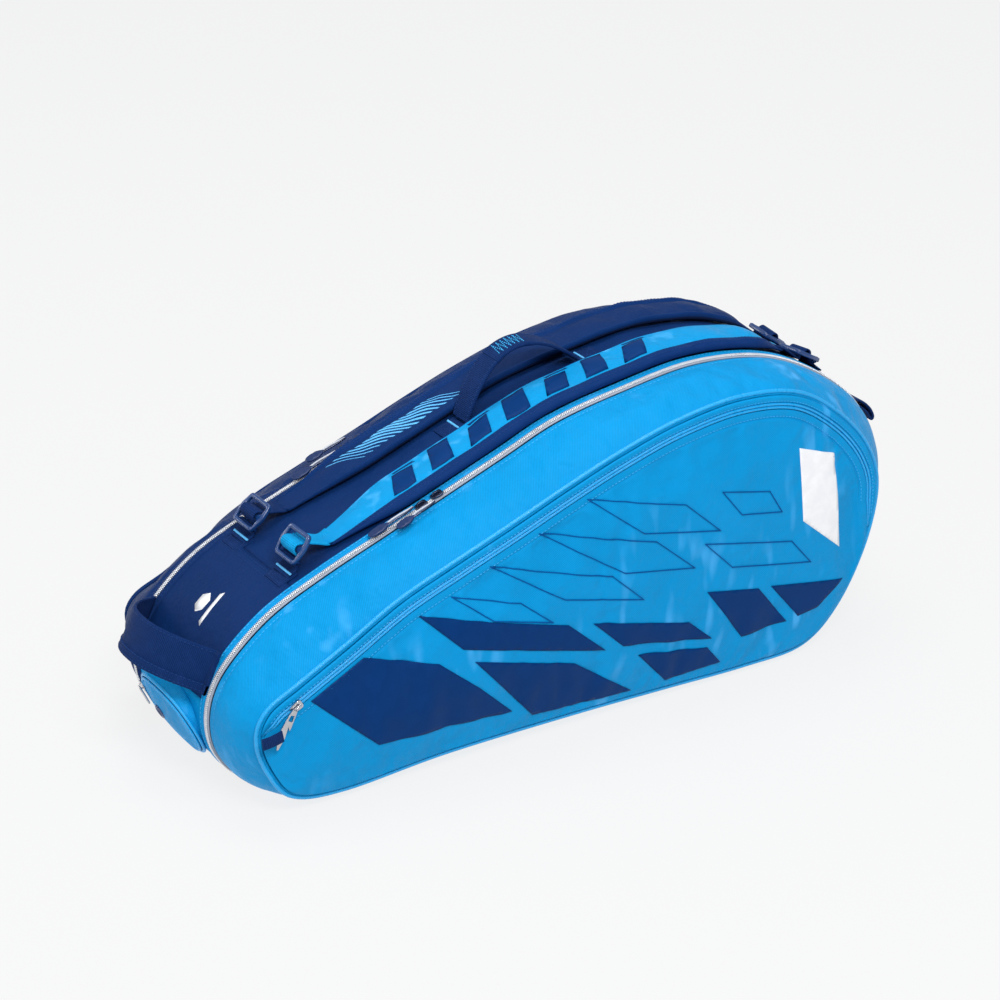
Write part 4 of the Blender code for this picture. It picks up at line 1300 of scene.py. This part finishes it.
def buckle_place(side, end):
    t, lift, tilt, roll = STRAPS[side][end]
    up, along = (Vector(d) for d in directions(np.array(t)))
    point = Vector(at(SPINE_KEYS, t, side * strap_middle(side), lift))
    turn = Matrix.Rotation(math.radians(tilt), 3, "Y")
    place = frame_at(point, turn @ along, turn @ up)
    return place @ Matrix.Rotation(math.radians(roll), 4, "X")


def band_path(place, path):
    """Points (x, z) of a buckle's own plane, as points in space, with their up directions."""
    centres = np.array([place @ Vector((x, 0, z)) for x, z in path])
    across = np.array(place.to_3x3() @ Vector((0, 1, 0)))
    ahead = unit(np.gradient(centres, axis=0))
    return centres, across, unit(np.cross(ahead, across))


def rounded_path(path, count=24):
    """A smooth path through a few given points."""
    path = np.asarray(path, float)
    ends = np.vstack([2 * path[0] - path[1], path, 2 * path[-1] - path[-2]])
    made = []
    for s in np.linspace(0, len(path) - 1, count):
        i = min(int(s), len(path) - 2)
        u = s - i
        made.append(curve_between(*ends[i:i + 4], u))
    return np.array(made)


def eased(corners, radius, steps=4):
    """A polygon with its corners rounded off."""
    ring = []
    spots = [Vector(p) for p in corners]
    for k, here in enumerate(spots):
        before, after = (here - spots[k - 1]), (spots[(k + 1) % len(spots)] - here)
        start, stop = here - before.normalized() * radius, here + after.normalized() * radius
        for i in range(steps + 1):
            u = i / steps
            ring.append(tuple(start.lerp(here, u).lerp(here.lerp(stop, u), u)))
    return ring


def buckle(side, word, end, mats):
    """A moulded ladder lock, the webbing over its middle bar, and the webbing to its strap."""
    body = f"{word}_{end}_buckle"
    place = buckle_place(side, end)
    toward = 1 if end == "grip" else -1
    outer = eased([(-0.0160, -0.0158), (0.0006, -0.0200), (0.0160, -0.0166), (0.0160, 0.0166),
                   (0.0006, 0.0200), (-0.0160, 0.0158)], 0.0036)
    window = rounded(0.0088, 0.0290, 0.0020, 3)
    plate = cut_plate(f"{body}_frame", outer, [shift(window, x) for x in (-0.0074, 0.0070)],
                      0.0046, 0.0013, mats["buckle"])
    plate.matrix_world = place
    put(plate, body, "buckle_plastic", body)
    for k, x in enumerate((-0.0139, 0.0137)):
        section = rounded(0.0020, 0.0012, 0.0005, 2)
        ends = [[place @ Vector((x + u, y, 0.0022 + v)) for u, v in section]
                for y in (-0.0130, 0.0130)]
        bar = loft(f"{body}_grip_bar_{k}", np.array(ends), mats["buckle"], closed=True, caps=True)
        put(bar, body, "buckle_plastic")

    lug = [(-0.0152, -0.0010), (-0.0148, -0.0042), (-0.0132, -0.0055), (0.0, -0.0055),
           (0.0132, -0.0055), (0.0148, -0.0042), (0.0152, -0.0010)]
    path = [tuple(place @ Vector((-toward * 0.0116, y, z * DEPTHS[end]))) for y, z in lug]
    back_bar = tube(f"{body}_back_bar", path, 0.0012, mats["buckle"], sides=8,
                    guide=tuple(place.to_3x3() @ Vector((1, 0, 0))))
    put(back_bar, body, "buckle_plastic")

    over = [(0.0080, -0.0056), (0.0062, -0.0020), (0.0048, 0.0018), (0.0026, 0.0050),
            (-0.0002, 0.0058), (-0.0034, 0.0046), (-0.0056, 0.0010), (-0.0066, -0.0030),
            (-0.0058, -0.0060)]
    path = rounded_path([(toward * x, max(z, z * DEPTHS[end])) for x, z in over], 30)
    centres, across, up = band_path(place, path)
    mat = mats["sky_webbing"] if side < 0 and end == "grip" else mats["webbing"]
    loop = ribbon(f"{body}_threaded_webbing", centres, across, up, 0.0240, 0.0019, mat)
    put(loop, body, "navy_webbing")

    pad_end = STRAPS[side]["pad"][0 if end == "grip" else 1]
    back = place.inverted()
    inside, tip = (back @ Vector(at(SPINE_KEYS, pad_end + toward * far, side * strap_middle(side),
                                    STRAP_LIFT + 0.0026)) for far in (0.16, 0.02))
    last = Vector((toward * 0.0088, 0, -0.0062))
    middle = tip.lerp(last, 0.55)
    path = rounded_path([(p.x, p.z) for p in (inside, tip, middle, last)] + [(toward * 0.0076,
                                                                              -0.0030)], 30)
    centres, across, up = band_path(place, path)
    web = ribbon(f"{word}_{end}_strap_webbing", centres, across, up, 0.0244, 0.0020, mat)
    put(web, f"{word}_strap", "navy_webbing", f"{word}_{end}_webbing")


def lying_band(name, node, ends, y, width, mats):
    """A band of webbing on the spine, sewn down with a box and cross of stitches."""
    lift, thick = 0.0005, 0.0025
    t = stations(SPINE_KEYS, *ends, 0.004)
    up, _ = directions(t)
    band = ribbon(name, at(SPINE_KEYS, t, y, lift + thick / 2), (0, 1, 0), up, width, thick,
                  mats["webbing"])
    put(band, "core", "navy_webbing", node)
    tree = surface(band)
    low, high = (ends[0] * 0.86 + ends[1] * 0.14, ends[0] * 0.14 + ends[1] * 0.86)
    reach = width / 2 - 0.0035
    corners = [(low, y - reach), (high, y - reach), (high, y + reach), (low, y + reach)]
    order = [0, 1, 2, 3, 0, 2, 3, 1]
    path = []
    for a, b in zip(order, order[1:]):
        for share in np.linspace(0, 1, 8):
            where = [p * (1 - share) + q * share for p, q in zip(corners[a], corners[b])]
            path.append(at(SPINE_KEYS, where[0], where[1], lift + thick + 0.001))
    seam(f"{name}_stitches", path, tree, mats["navy_thread"], "core", "navy_webbing",
         pitch=0.0030, length=0.0024, radius=0.00032, lift=0.0001)


def anchors(side, word, mats):
    """The sewn webbing that holds a strap's buckles to the spine, and its rise to each buckle."""
    middle = side * strap_middle(side)
    spots = {"grip": ((8.40, 8.74), 0.030, 1), "head": (STRAPS[side]["head_anchor"], 0.026, -1)}
    for end, (ends, width, toward) in spots.items():
        name = f"{word}_{end}_anchor"
        lying_band(f"{name}_webbing", name, ends, middle, width, mats)
        near_end = ends[1] if toward > 0 else ends[0]
        t = near_end - toward * 0.09
        up, along = directions(np.array(t))
        bar = at(SPINE_KEYS, t, middle, 0.0056)
        bartack(f"{name}_bartack", bar, along, (0, 1, 0), up, width - 0.003, mats["pale"],
                "core", "navy_webbing")
        place = buckle_place(side, end)
        back = place.inverted()
        start = back @ Vector(at(SPINE_KEYS, near_end - toward * 0.16, middle, 0.0036))
        turn = back @ Vector(at(SPINE_KEYS, near_end + toward * 0.02, middle, 0.0046))
        wrap = [(0.0148, -0.0074), (0.0116, -0.0078), (0.0092, -0.0058), (0.0098, -0.0036),
                (0.0122, -0.0032), (0.0140, -0.0048)]
        wrap = [(start.x, start.z), (turn.x, turn.z)] + [(-toward * x, z * DEPTHS[end])
                                                         for x, z in wrap]
        centres, across, out = band_path(place, rounded_path(wrap, 34))
        rise = ribbon(f"{word}_{end}_anchor_loop", centres, across, out, width - 0.004, 0.0018,
                      mats["webbing"])
        foot = Vector(at(SPINE_KEYS, near_end, middle, 0.003))
        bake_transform(rise)


# ---------------------------------------------------------------- handles

HANDLE_Y = 0.004
HANDLE_FEET = (12.05, 14.05)
HANDLE_HEIGHT = 0.054
HANDLE_WIDTH = 0.028
END_HANDLE = 6.30        # the key position of the end handle's roots


def bent(obj):
    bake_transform(obj)


def bent_stitches(name, line, places, axis, up, mats):
    """Stitches on a handle; up is its upward direction at the places along the axis."""
    points, way = spaced(line, 0.0042)
    ups = np.stack([np.interp(points[:, axis], places, up[:, k]) for k in range(3)], -1)
    bent(threads(name, points, way, ups, 0.0030, 0.0004, mats["navy_thread"]))


def carry_handle(mats):
    """The webbing arch between the straps, with a stitched sleeve at its top."""
    ends = [at(SPINE_KEYS, t, HANDLE_Y) for t in (HANDLE_FEET[0] + 0.02, HANDLE_FEET[1] - 0.02)]
    along = unit(ends[1] - ends[0])
    rise = np.array([-along[2], 0, along[0]])
    share = np.linspace(0.012, 0.988, 61)
    height = HANDLE_HEIGHT * np.sin(math.pi * share) ** 0.8 + 0.0022
    arch = (ends[0] * (1 - share[:, None]) + ends[1] * share[:, None]
            + rise * height[:, None])
    ahead = unit(np.gradient(arch, axis=0))
    up = np.stack([-ahead[:, 2], np.zeros(61), ahead[:, 0]], -1)
    web = ribbon("carry_handle_webbing", arch, (0, 1, 0), up, HANDLE_WIDTH, 0.0032,
                 mats["webbing"])
    bent(web)
    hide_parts("carry_handle_loop")
    for y in (-0.0115, 0.0115):
        line = arch + up * 0.0016 + np.array([0, y, 0])
        bent_stitches(f"carry_handle_stitches_{'near' if y < 0 else 'far'}", line, arch[:, 0],
                      0, up, mats)

    grip = slice(21, 41)
    width = HANDLE_WIDTH + 0.0008 - 0.0020 * np.cos(np.linspace(-1, 1, 20) * math.pi / 2)
    sleeve = ribbon("carry_handle_sleeve", arch[grip], (0, 1, 0), up[grip], width, 0.0046,
                    mats["webbing"])
    put(sleeve, "carry_handle", "navy_webbing")
    tree = surface(sleeve)
    zigzag = [arch[24 + k] + np.array([0, 0.009 * (1 if k % 2 else -1), 0]) + up[24 + k] * 0.003
              for k in range(14)]
    seam("carry_handle_zigzag", zigzag, tree, mats["sky_thread"], "carry_handle",
         "navy_webbing", pitch=0.0032, length=0.0026, radius=0.0004, lift=0.0001)

    feet = {"grip": (HANDLE_FEET[0] - 0.34, HANDLE_FEET[0] + 0.02),
            "head": (HANDLE_FEET[1] - 0.02, HANDLE_FEET[1] + 0.28)}
    for word, places in feet.items():
        name = f"carry_handle_{word}_foot"
        lying_band(f"{name}_webbing", name, places, HANDLE_Y, HANDLE_WIDTH, mats)
        t = places[1] - 0.10 if word == "grip" else places[0] + 0.08
        up_here, ahead_here = directions(np.array(t))
        bartack(f"carry_handle_{word}_bartack", at(SPINE_KEYS, t, HANDLE_Y, 0.0034), ahead_here,
                (0, 1, 0), up_here, 0.026, mats["pale"], "core", "navy_webbing")


def end_handle(mats):
    """The wide grab handle across the grip end, one length of webbing from root to root."""
    up, along = directions(np.array(END_HANDLE))
    point = at(SPINE_KEYS, END_HANDLE, 0.0)
    out = unit(up + np.array([-0.35, 0, 0]))
    half = 0.0714
    y = np.linspace(-half, half, 61)
    bulge = 0.047 * np.maximum(0.0, 1 - (np.abs(y) / 0.0640) ** 2.4) + 0.0034
    centres = point + np.array([0, 1, 0]) * y[:, None] + out * bulge[:, None]
    across = unit(along - out * along.dot(out))
    ahead = unit(np.gradient(centres, axis=0))
    face = unit(np.cross(across, ahead))
    sag = 0.0030 * np.cos(y / half * math.pi / 2)
    centres = centres - across * sag[:, None] * 0.4
    web = ribbon("end_handle_webbing", centres, across, face, 0.0430, 0.0030, mats["webbing"])
    bent(web)
    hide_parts("end_handle_loop", "end_handle_near_root", "end_handle_far_root")
    bent(ribbon("end_handle_binding", centres - across * 0.0168 + face * 0.0007, across, face,
                0.0100, 0.0034, mats["webbing"]))
    for k, offset in enumerate((-0.0192, -0.0128, 0.0190)):
        line = centres + across * offset + face * (0.0024 if k < 2 else 0.0015)
        bent_stitches(f"end_handle_stitches_{k}", line, y, 1, face, mats)


def head_tab(mats):
    """A folded webbing tab sewn to the head end's top, its free end standing off."""
    t = np.array([17.96, 18.06, 18.16, 18.30, 18.46, 18.60, 18.64, 18.62, 18.46, 18.28, 18.12])
    lift = np.array([0.0018, 0.0048, 0.0090, 0.0136, 0.0172, 0.0182, 0.0164, 0.0142, 0.0118,
                     0.0070, 0.0022])
    count = 40
    places = rounded_path(at(SPINE_KEYS, t, -0.052, lift), count)
    ahead = unit(np.gradient(places, axis=0))
    up = unit(np.cross(ahead, np.array([0, -1, 0])))
    tab = ribbon("head_tab_webbing", places, (0, 1, 0), up, 0.028, 0.0024, mats["webbing"])
    put(tab, "core", "navy_webbing", "head_end_tab")
    tree = surface(tab)
    for k, row in enumerate((3, 16)):
        line = places[row] + up[row] * 0.003 + np.array([0, 1, 0]) * np.linspace(
            -0.0120, 0.0120, 12)[:, None]
        seam(f"head_tab_stitches_{k}", line, tree, mats["pale"], "core", "navy_webbing",
             pitch=0.0030, length=0.0022)


# ---------------------------------------------------------------- sliders and pulls

TRACK_START, TRACK_END = np.array((-0.190, 0, 0.2215)), np.array((-0.060, 0, 0.2705))
TRACK = unit(TRACK_END - TRACK_START)
TRACK_UP = np.array([-TRACK[2], 0, TRACK[0]])


def track_point(x, y, lift):
    """A point over the straight stretch of a main zip."""
    share = (x - TRACK_START[0]) / TRACK[0]
    return (TRACK_START + TRACK * share + np.array([SHIFT, y, 0]) + TRACK_UP * lift)


def mirrored(half):
    """A closed ring from its half above the X axis."""
    return half + [(x, -y) for x, y in reversed(half)]


def slider(name, place, scale, mat, body, slot, node):
    """A zip slider: its body, flared at the nose, and the bridge that holds its pull."""
    half = [(-0.0062, 0.0030), (-0.0030, 0.0042), (0.0020, 0.0048), (0.0052, 0.0046),
            (0.0064, 0.0030)]
    plate = cut_plate(name, mirrored([(x * scale, y * scale) for x, y in half]), [],
                      0.0017 * scale, 0.0005 * scale, mat)
    plate.matrix_world = place @ Matrix.Translation((0, 0, -0.0006 * scale))
    put(plate, body, slot, node)
    arch = np.array([(-0.0044, 0.0), (-0.0040, 0.0016), (-0.0022, 0.0026), (0.0010, 0.0026),
                     (0.0034, 0.0016), (0.0042, -0.0002)]) * scale
    centres, across, up = band_path(place, rounded_path(arch, 16))
    bridge = ribbon(f"{name}_bridge", centres, across, up, 0.0024 * scale, 0.0011 * scale, mat)
    put(bridge, body, slot)


def pull(word, which, side, x, lean, y_pull, length, mats):
    """A cord loop from a slider to a moulded rubber tab."""
    body = f"{word}_{which}_pull"
    forward = unit(np.array([0, side * lean, 0]) - TRACK)
    start = track_point(x - 0.0088, side * y_pull, 0.0058)
    across = unit(np.cross(TRACK_UP, forward))
    tab_start = 0.52
    for k, mat in ((-1, mats["silver_cord"]), (1, mats["dark_steel"])):
        path = [start - forward * 0.0015 + across * 0.0003 * k,
                start + forward * length * 0.18 + across * 0.0016 * k,
                start + forward * length * 0.40 + across * 0.0019 * k + TRACK_UP * 0.0004,
                start + forward * length * (tab_start + 0.06) + across * 0.0014 * k]
        cord = tube(f"{body}_cord_{'a' if k < 0 else 'b'}", rounded_path(path, 14), 0.0010, mat,
                    sides=8, guide=tuple(TRACK_UP))
        put(cord, body, "pull_tab")
    share = np.linspace(tab_start, 1.0, 22)
    s = (share - tab_start) / (1 - tab_start)
    waist = 0.60 + 0.40 * smooth_step(s / 0.4)
    width = 0.0106 * (1 - np.abs(2 * s - 1.04) ** 3.5 * 0.62) * waist
    ribs = 0.0005 * np.sin(s * math.pi * 7) * (s > 0.3) * (s < 0.9)
    height = 0.0030 * (1 - np.abs(2 * s - 1) ** 4 * 0.55) + ribs
    centres = start + forward * (length * share)[:, None]
    tab = ribbon(f"{body}_tab", centres, across, TRACK_UP, np.maximum(width, 0.003), height,
                 mats["rubber"], corner=0.48, steps=4)
    refine(tab)
    put(tab, body, "pull_tab", body)


def main_sliders(side, word, mats):
    low_x, high_x = -0.147, -0.130
    for which, x, lean, y_pull, length in (("low", low_x, 0.0, 0.0745, 0.050),
                                           ("high", high_x, 0.06, 0.0855, 0.044)):
        centre = track_point(x, side * ZIP_PLANE, 0.0040)
        place = frame_at(centre, TRACK, TRACK_UP)
        name = f"{word}_{which}_slider"
        slider(f"{name}_body", place, 1.0, mats["dark_steel"], name, "steel", name)
        pull(word, which, side, x, lean, y_pull, length, mats)


def side_pocket_slider(mats):
    """The pocket's plated slider, its bent flat pull, and the webbing tab that parks it."""
    here, ahead = (at(PANEL_KEYS, k, -POCKET_SEAM, -0.0138) for k in (6.7, 7.2))
    along = unit(ahead - here)
    out = np.array([0, -1.0, 0])
    place = frame_at(here + out * 0.0034, along, out)
    slider("pocket_slider_body", place, 0.98, mats["steel"], "side_pocket_slider", "steel",
           "side_pocket_slider")
    down = unit(np.array([-0.53, 0, -0.85]))
    top = here + out * 0.0068 - along * 0.0050
    bolt = [(-0.0016, 0.0026), (0.0150, 0.0046), (0.0186, 0.0044), (0.0150, 0.0012),
            (0.0262, 0.0034), (0.0385, 0.0026), (0.0392, 0.0010), (0.0270, -0.0044),
            (0.0236, -0.0046), (0.0060, -0.0040), (-0.0016, -0.0026)]
    slot_hole = [(0.0036, 0.0018), (0.0096, 0.0024), (0.0096, -0.0022), (0.0040, -0.0020)]
    plate = cut_plate("pocket_pull_plate", bolt, [slot_hole], 0.0018, 0.0004, mats["steel"])
    plate.matrix_world = frame_at(top, down, out)
    put(plate, "side_pocket_pull", "steel", "side_pocket_pull")

    centre = top + np.array([-0.0245, 0, -0.0209]) + out * 0.0030
    run = unit(np.array([0.988, 0, 0.154]))
    side = unit(np.cross(out, run))
    share = np.linspace(-0.5, 0.5, 15)
    crown = 0.0010 * (1 - (2 * share) ** 2)
    path = centre + run * (share * 0.0212)[:, None] + out * crown[:, None]
    tab = ribbon("pocket_garage_webbing", path, side, out, 0.0120, 0.0019, mats["webbing"])
    put(tab, "side_pocket", "pull_tab", "side_pocket_garage")
    tree = surface(tab)
    for k, row in enumerate((2, 12)):
        line = path[row] + out * 0.002 + side * np.linspace(-0.0050, 0.0050, 8)[:, None]
        seam(f"pocket_garage_stitches_{k}", line, tree, mats["navy_thread"], "side_pocket",
             "pull_tab", pitch=0.0022, length=0.0016, radius=0.00030)


# ---------------------------------------------------------------- end pocket

POCKET_LEAN = math.radians(24)
POCKET_OUT = np.array([-math.cos(POCKET_LEAN), 0, -math.sin(POCKET_LEAN)])
POCKET_UP = np.array([-math.sin(POCKET_LEAN), 0, math.cos(POCKET_LEAN)])
POCKET_CENTRE = np.array([-0.3830 + SHIFT, -0.008, 0.0570])
POCKET_HALF_WIDTH, POCKET_HALF_HEIGHT = 0.0520, 0.0385
POCKET_DOME = 0.0060


def pocket_ring(scale, out, start=0.0, end=360.0, count=96):
    """A rounded D-shaped ring, or a part of it, off the pocket's rim by out."""
    full = end - start >= 360
    a = np.radians(np.linspace(start, end, count, endpoint=not full))
    c, s = np.cos(a), np.sin(a)
    y = POCKET_HALF_WIDTH * scale * np.sign(c) * np.abs(c) ** 0.72
    h = POCKET_HALF_HEIGHT * scale * np.sign(s) * np.abs(s) ** 0.80
    narrow = 1 - 0.10 * np.maximum(0.0, h / POCKET_HALF_HEIGHT)
    return (POCKET_CENTRE + np.stack([0 * y, y * narrow, 0 * y], -1)
            + POCKET_UP * h[:, None] + POCKET_OUT * np.broadcast_to(out, a.shape)[:, None])


def wall_x(z):
    """Where the grip end's wall is at heights z."""
    t = np.linspace(2.4, 6.4, 400)
    points = outline(SPINE_KEYS, t)
    return np.interp(z, points[:, 1], points[:, 0])


def end_pocket(mats):
    """The small zipped pocket on the grip end: a wedge of cloth, and its domed lid."""
    rim = pocket_ring(0.97, 0.0)
    foot = pocket_ring(1.0, 0.0)
    foot[:, 0] = wall_x(foot[:, 2]) - 0.0008
    rows = [foot * (1 - s) + rim * s + POCKET_OUT * -0.0018 * math.sin(math.pi * s)
            for s in np.linspace(0, 1, 8)]
    wall = loft("end_pocket_wall", np.stack(rows), [mats["sky"], mats["lining"]], closed=True,
                centre=POCKET_CENTRE)
    thicken(wall, 0.0014, lined=True)
    put(wall, "core", "sky_fabric", "end_pocket_gusset")
    beads = (("end_pocket_rim_piping", 0.985, 0.0004, 0.0017, "core"),
             ("end_pocket_lid_piping", 0.918, 0.0030, 0.0013, "end_pocket"))
    for name, scale, out, radius, body in beads:
        # The beads take the lightened piping cloth, a painted highlight along them.
        bead = tube(name, pocket_ring(scale, out), radius, mats["piping"], closed=True, sides=10,
                    guide=tuple(POCKET_OUT))
        put(bead, body, "sky_fabric")

    zip_rows = [pocket_ring(s, out, -4, 184, 70)
                for s, out in ((0.945, 0.0010), (0.955, 0.0019), (0.965, 0.0011),
                               (0.972, 0.0018), (0.980, 0.0010))]
    coil = loft("end_pocket_zip_tape", np.stack(zip_rows), mats["sky"], centre=POCKET_CENTRE)
    thicken(coil, 0.0008)
    put(coil, "core", "zip_tape", "end_pocket_zip")

    lid = 0.0026
    scales = np.array([0.935, 0.90, 0.85, 0.76, 0.64, 0.50, 0.36, 0.22, 0.10])
    rows = []
    for s in scales:
        ring = pocket_ring(s, lid + POCKET_DOME * (1 - (s / 0.935) ** 2))
        fade = 1 - abs(2 * s / 0.935 - 1) ** 2
        rows.append(ring + POCKET_OUT * crumple(ring, 0.018, 0.0011, 4.0)[:, None] * fade)
    flap = loft("end_pocket_lid", np.stack(rows), [mats["sky"], mats["lining"]], closed=True,
                centre=POCKET_CENTRE)
    close_middle(flap, len(rows) - 1, 96)
    refine(flap)
    thicken(flap, 0.0014, lined=True)
    put(flap, "end_pocket", "sky_fabric", "end_pocket_flap")
    tree = surface(flap)
    seam("end_pocket_stitches", pocket_ring(0.86, lid + 0.004), tree, mats["sky_thread"],
         "end_pocket", "sky_fabric", pitch=0.0036, length=0.0026, closed=True)

    centre = POCKET_CENTRE + np.array([0, 0.012, 0]) + POCKET_OUT * (lid + POCKET_DOME - 0.0004)
    angles = np.radians(np.arange(0, 360, 10))
    around = np.cos(angles)[:, None] * np.array([0, 1, 0]) + np.sin(angles)[:, None] * POCKET_UP
    for name, radius, bead, mat, slot, nodes in (
            ("end_pocket_eyelet_ring", 0.0061, 0.0016, "buckle", "buckle_plastic",
             ["end_pocket_eyelet"]),
            ("end_pocket_eyelet_liner", 0.0042, 0.0008, "dark_steel", "steel", [])):
        ring = tube(name, centre + around * radius, bead, mats[mat], closed=True, sides=12,
                    guide=tuple(POCKET_OUT))
        put(ring, "end_pocket", slot, *nodes)

    park = pocket_ring(0.962, lid + 0.0012, 14, 15, 2)[0]
    slider("end_pocket_slider_body", frame_at(park + POCKET_OUT * 0.0008, POCKET_UP, POCKET_OUT),
           0.78, mats["steel"], "end_pocket", "steel", "end_pocket_slider")
    hang = -POCKET_UP
    ring = mirrored([(-0.0115, 0.0020), (-0.0040, 0.0028), (0.0090, 0.0030), (0.0115, 0.0016)])
    hole = shift(rounded(0.0050, 0.0026, 0.0010, 3), -0.0070)
    plate = cut_plate("end_pocket_pull_plate", ring, [hole], 0.0016, 0.0004, mats["steel"])
    plate.matrix_world = frame_at(park + POCKET_OUT * 0.0036 + hang * 0.0110, hang, POCKET_OUT)
    put(plate, "end_pocket_pull", "steel", "end_pocket_pull")


def close_middle(obj, row, count):
    """Fills the last ring of a closed loft with one face, to be rounded off by refine."""
    bm = bmesh.new()
    bm.from_mesh(obj.data)
    bm.verts.ensure_lookup_table()
    ring = [bm.verts[row * count + i] for i in range(count)]
    face = bm.faces.new(ring)
    face.smooth = True
    bmesh.ops.recalc_face_normals(bm, faces=bm.faces[:])
    bm.to_mesh(obj.data)
    bm.free()
    face_out(obj, POCKET_CENTRE)


# ---------------------------------------------------------------- all of it

def main():
    set_camera()
    set_studio()
    mats = make_materials()
    for side, word, keys in ((-1, "near", PANEL_KEYS), (1, "far", FAR_KEYS)):
        shell_gusset(word, side, keys, mats)
        for half in ("spine", "shell"):
            zip_side(word, side, half, mats)
        zip_welt(word, side, mats)
    near_panel(mats)
    pocket_prints(side_pocket(mats), mats)
    side_pocket_slider(mats)
    far_panel(mats)
    spine(mats)
    end_pocket(mats)
    for side, word in ((-1, "near"), (1, "far")):
        strap(side, word, mats)
        anchors(side, word, mats)
        for end in ("grip", "head"):
            buckle(side, word, end, mats)
        main_sliders(side, word, mats)
    carry_handle(mats)
    end_handle(mats)
    head_tab(mats)


main()
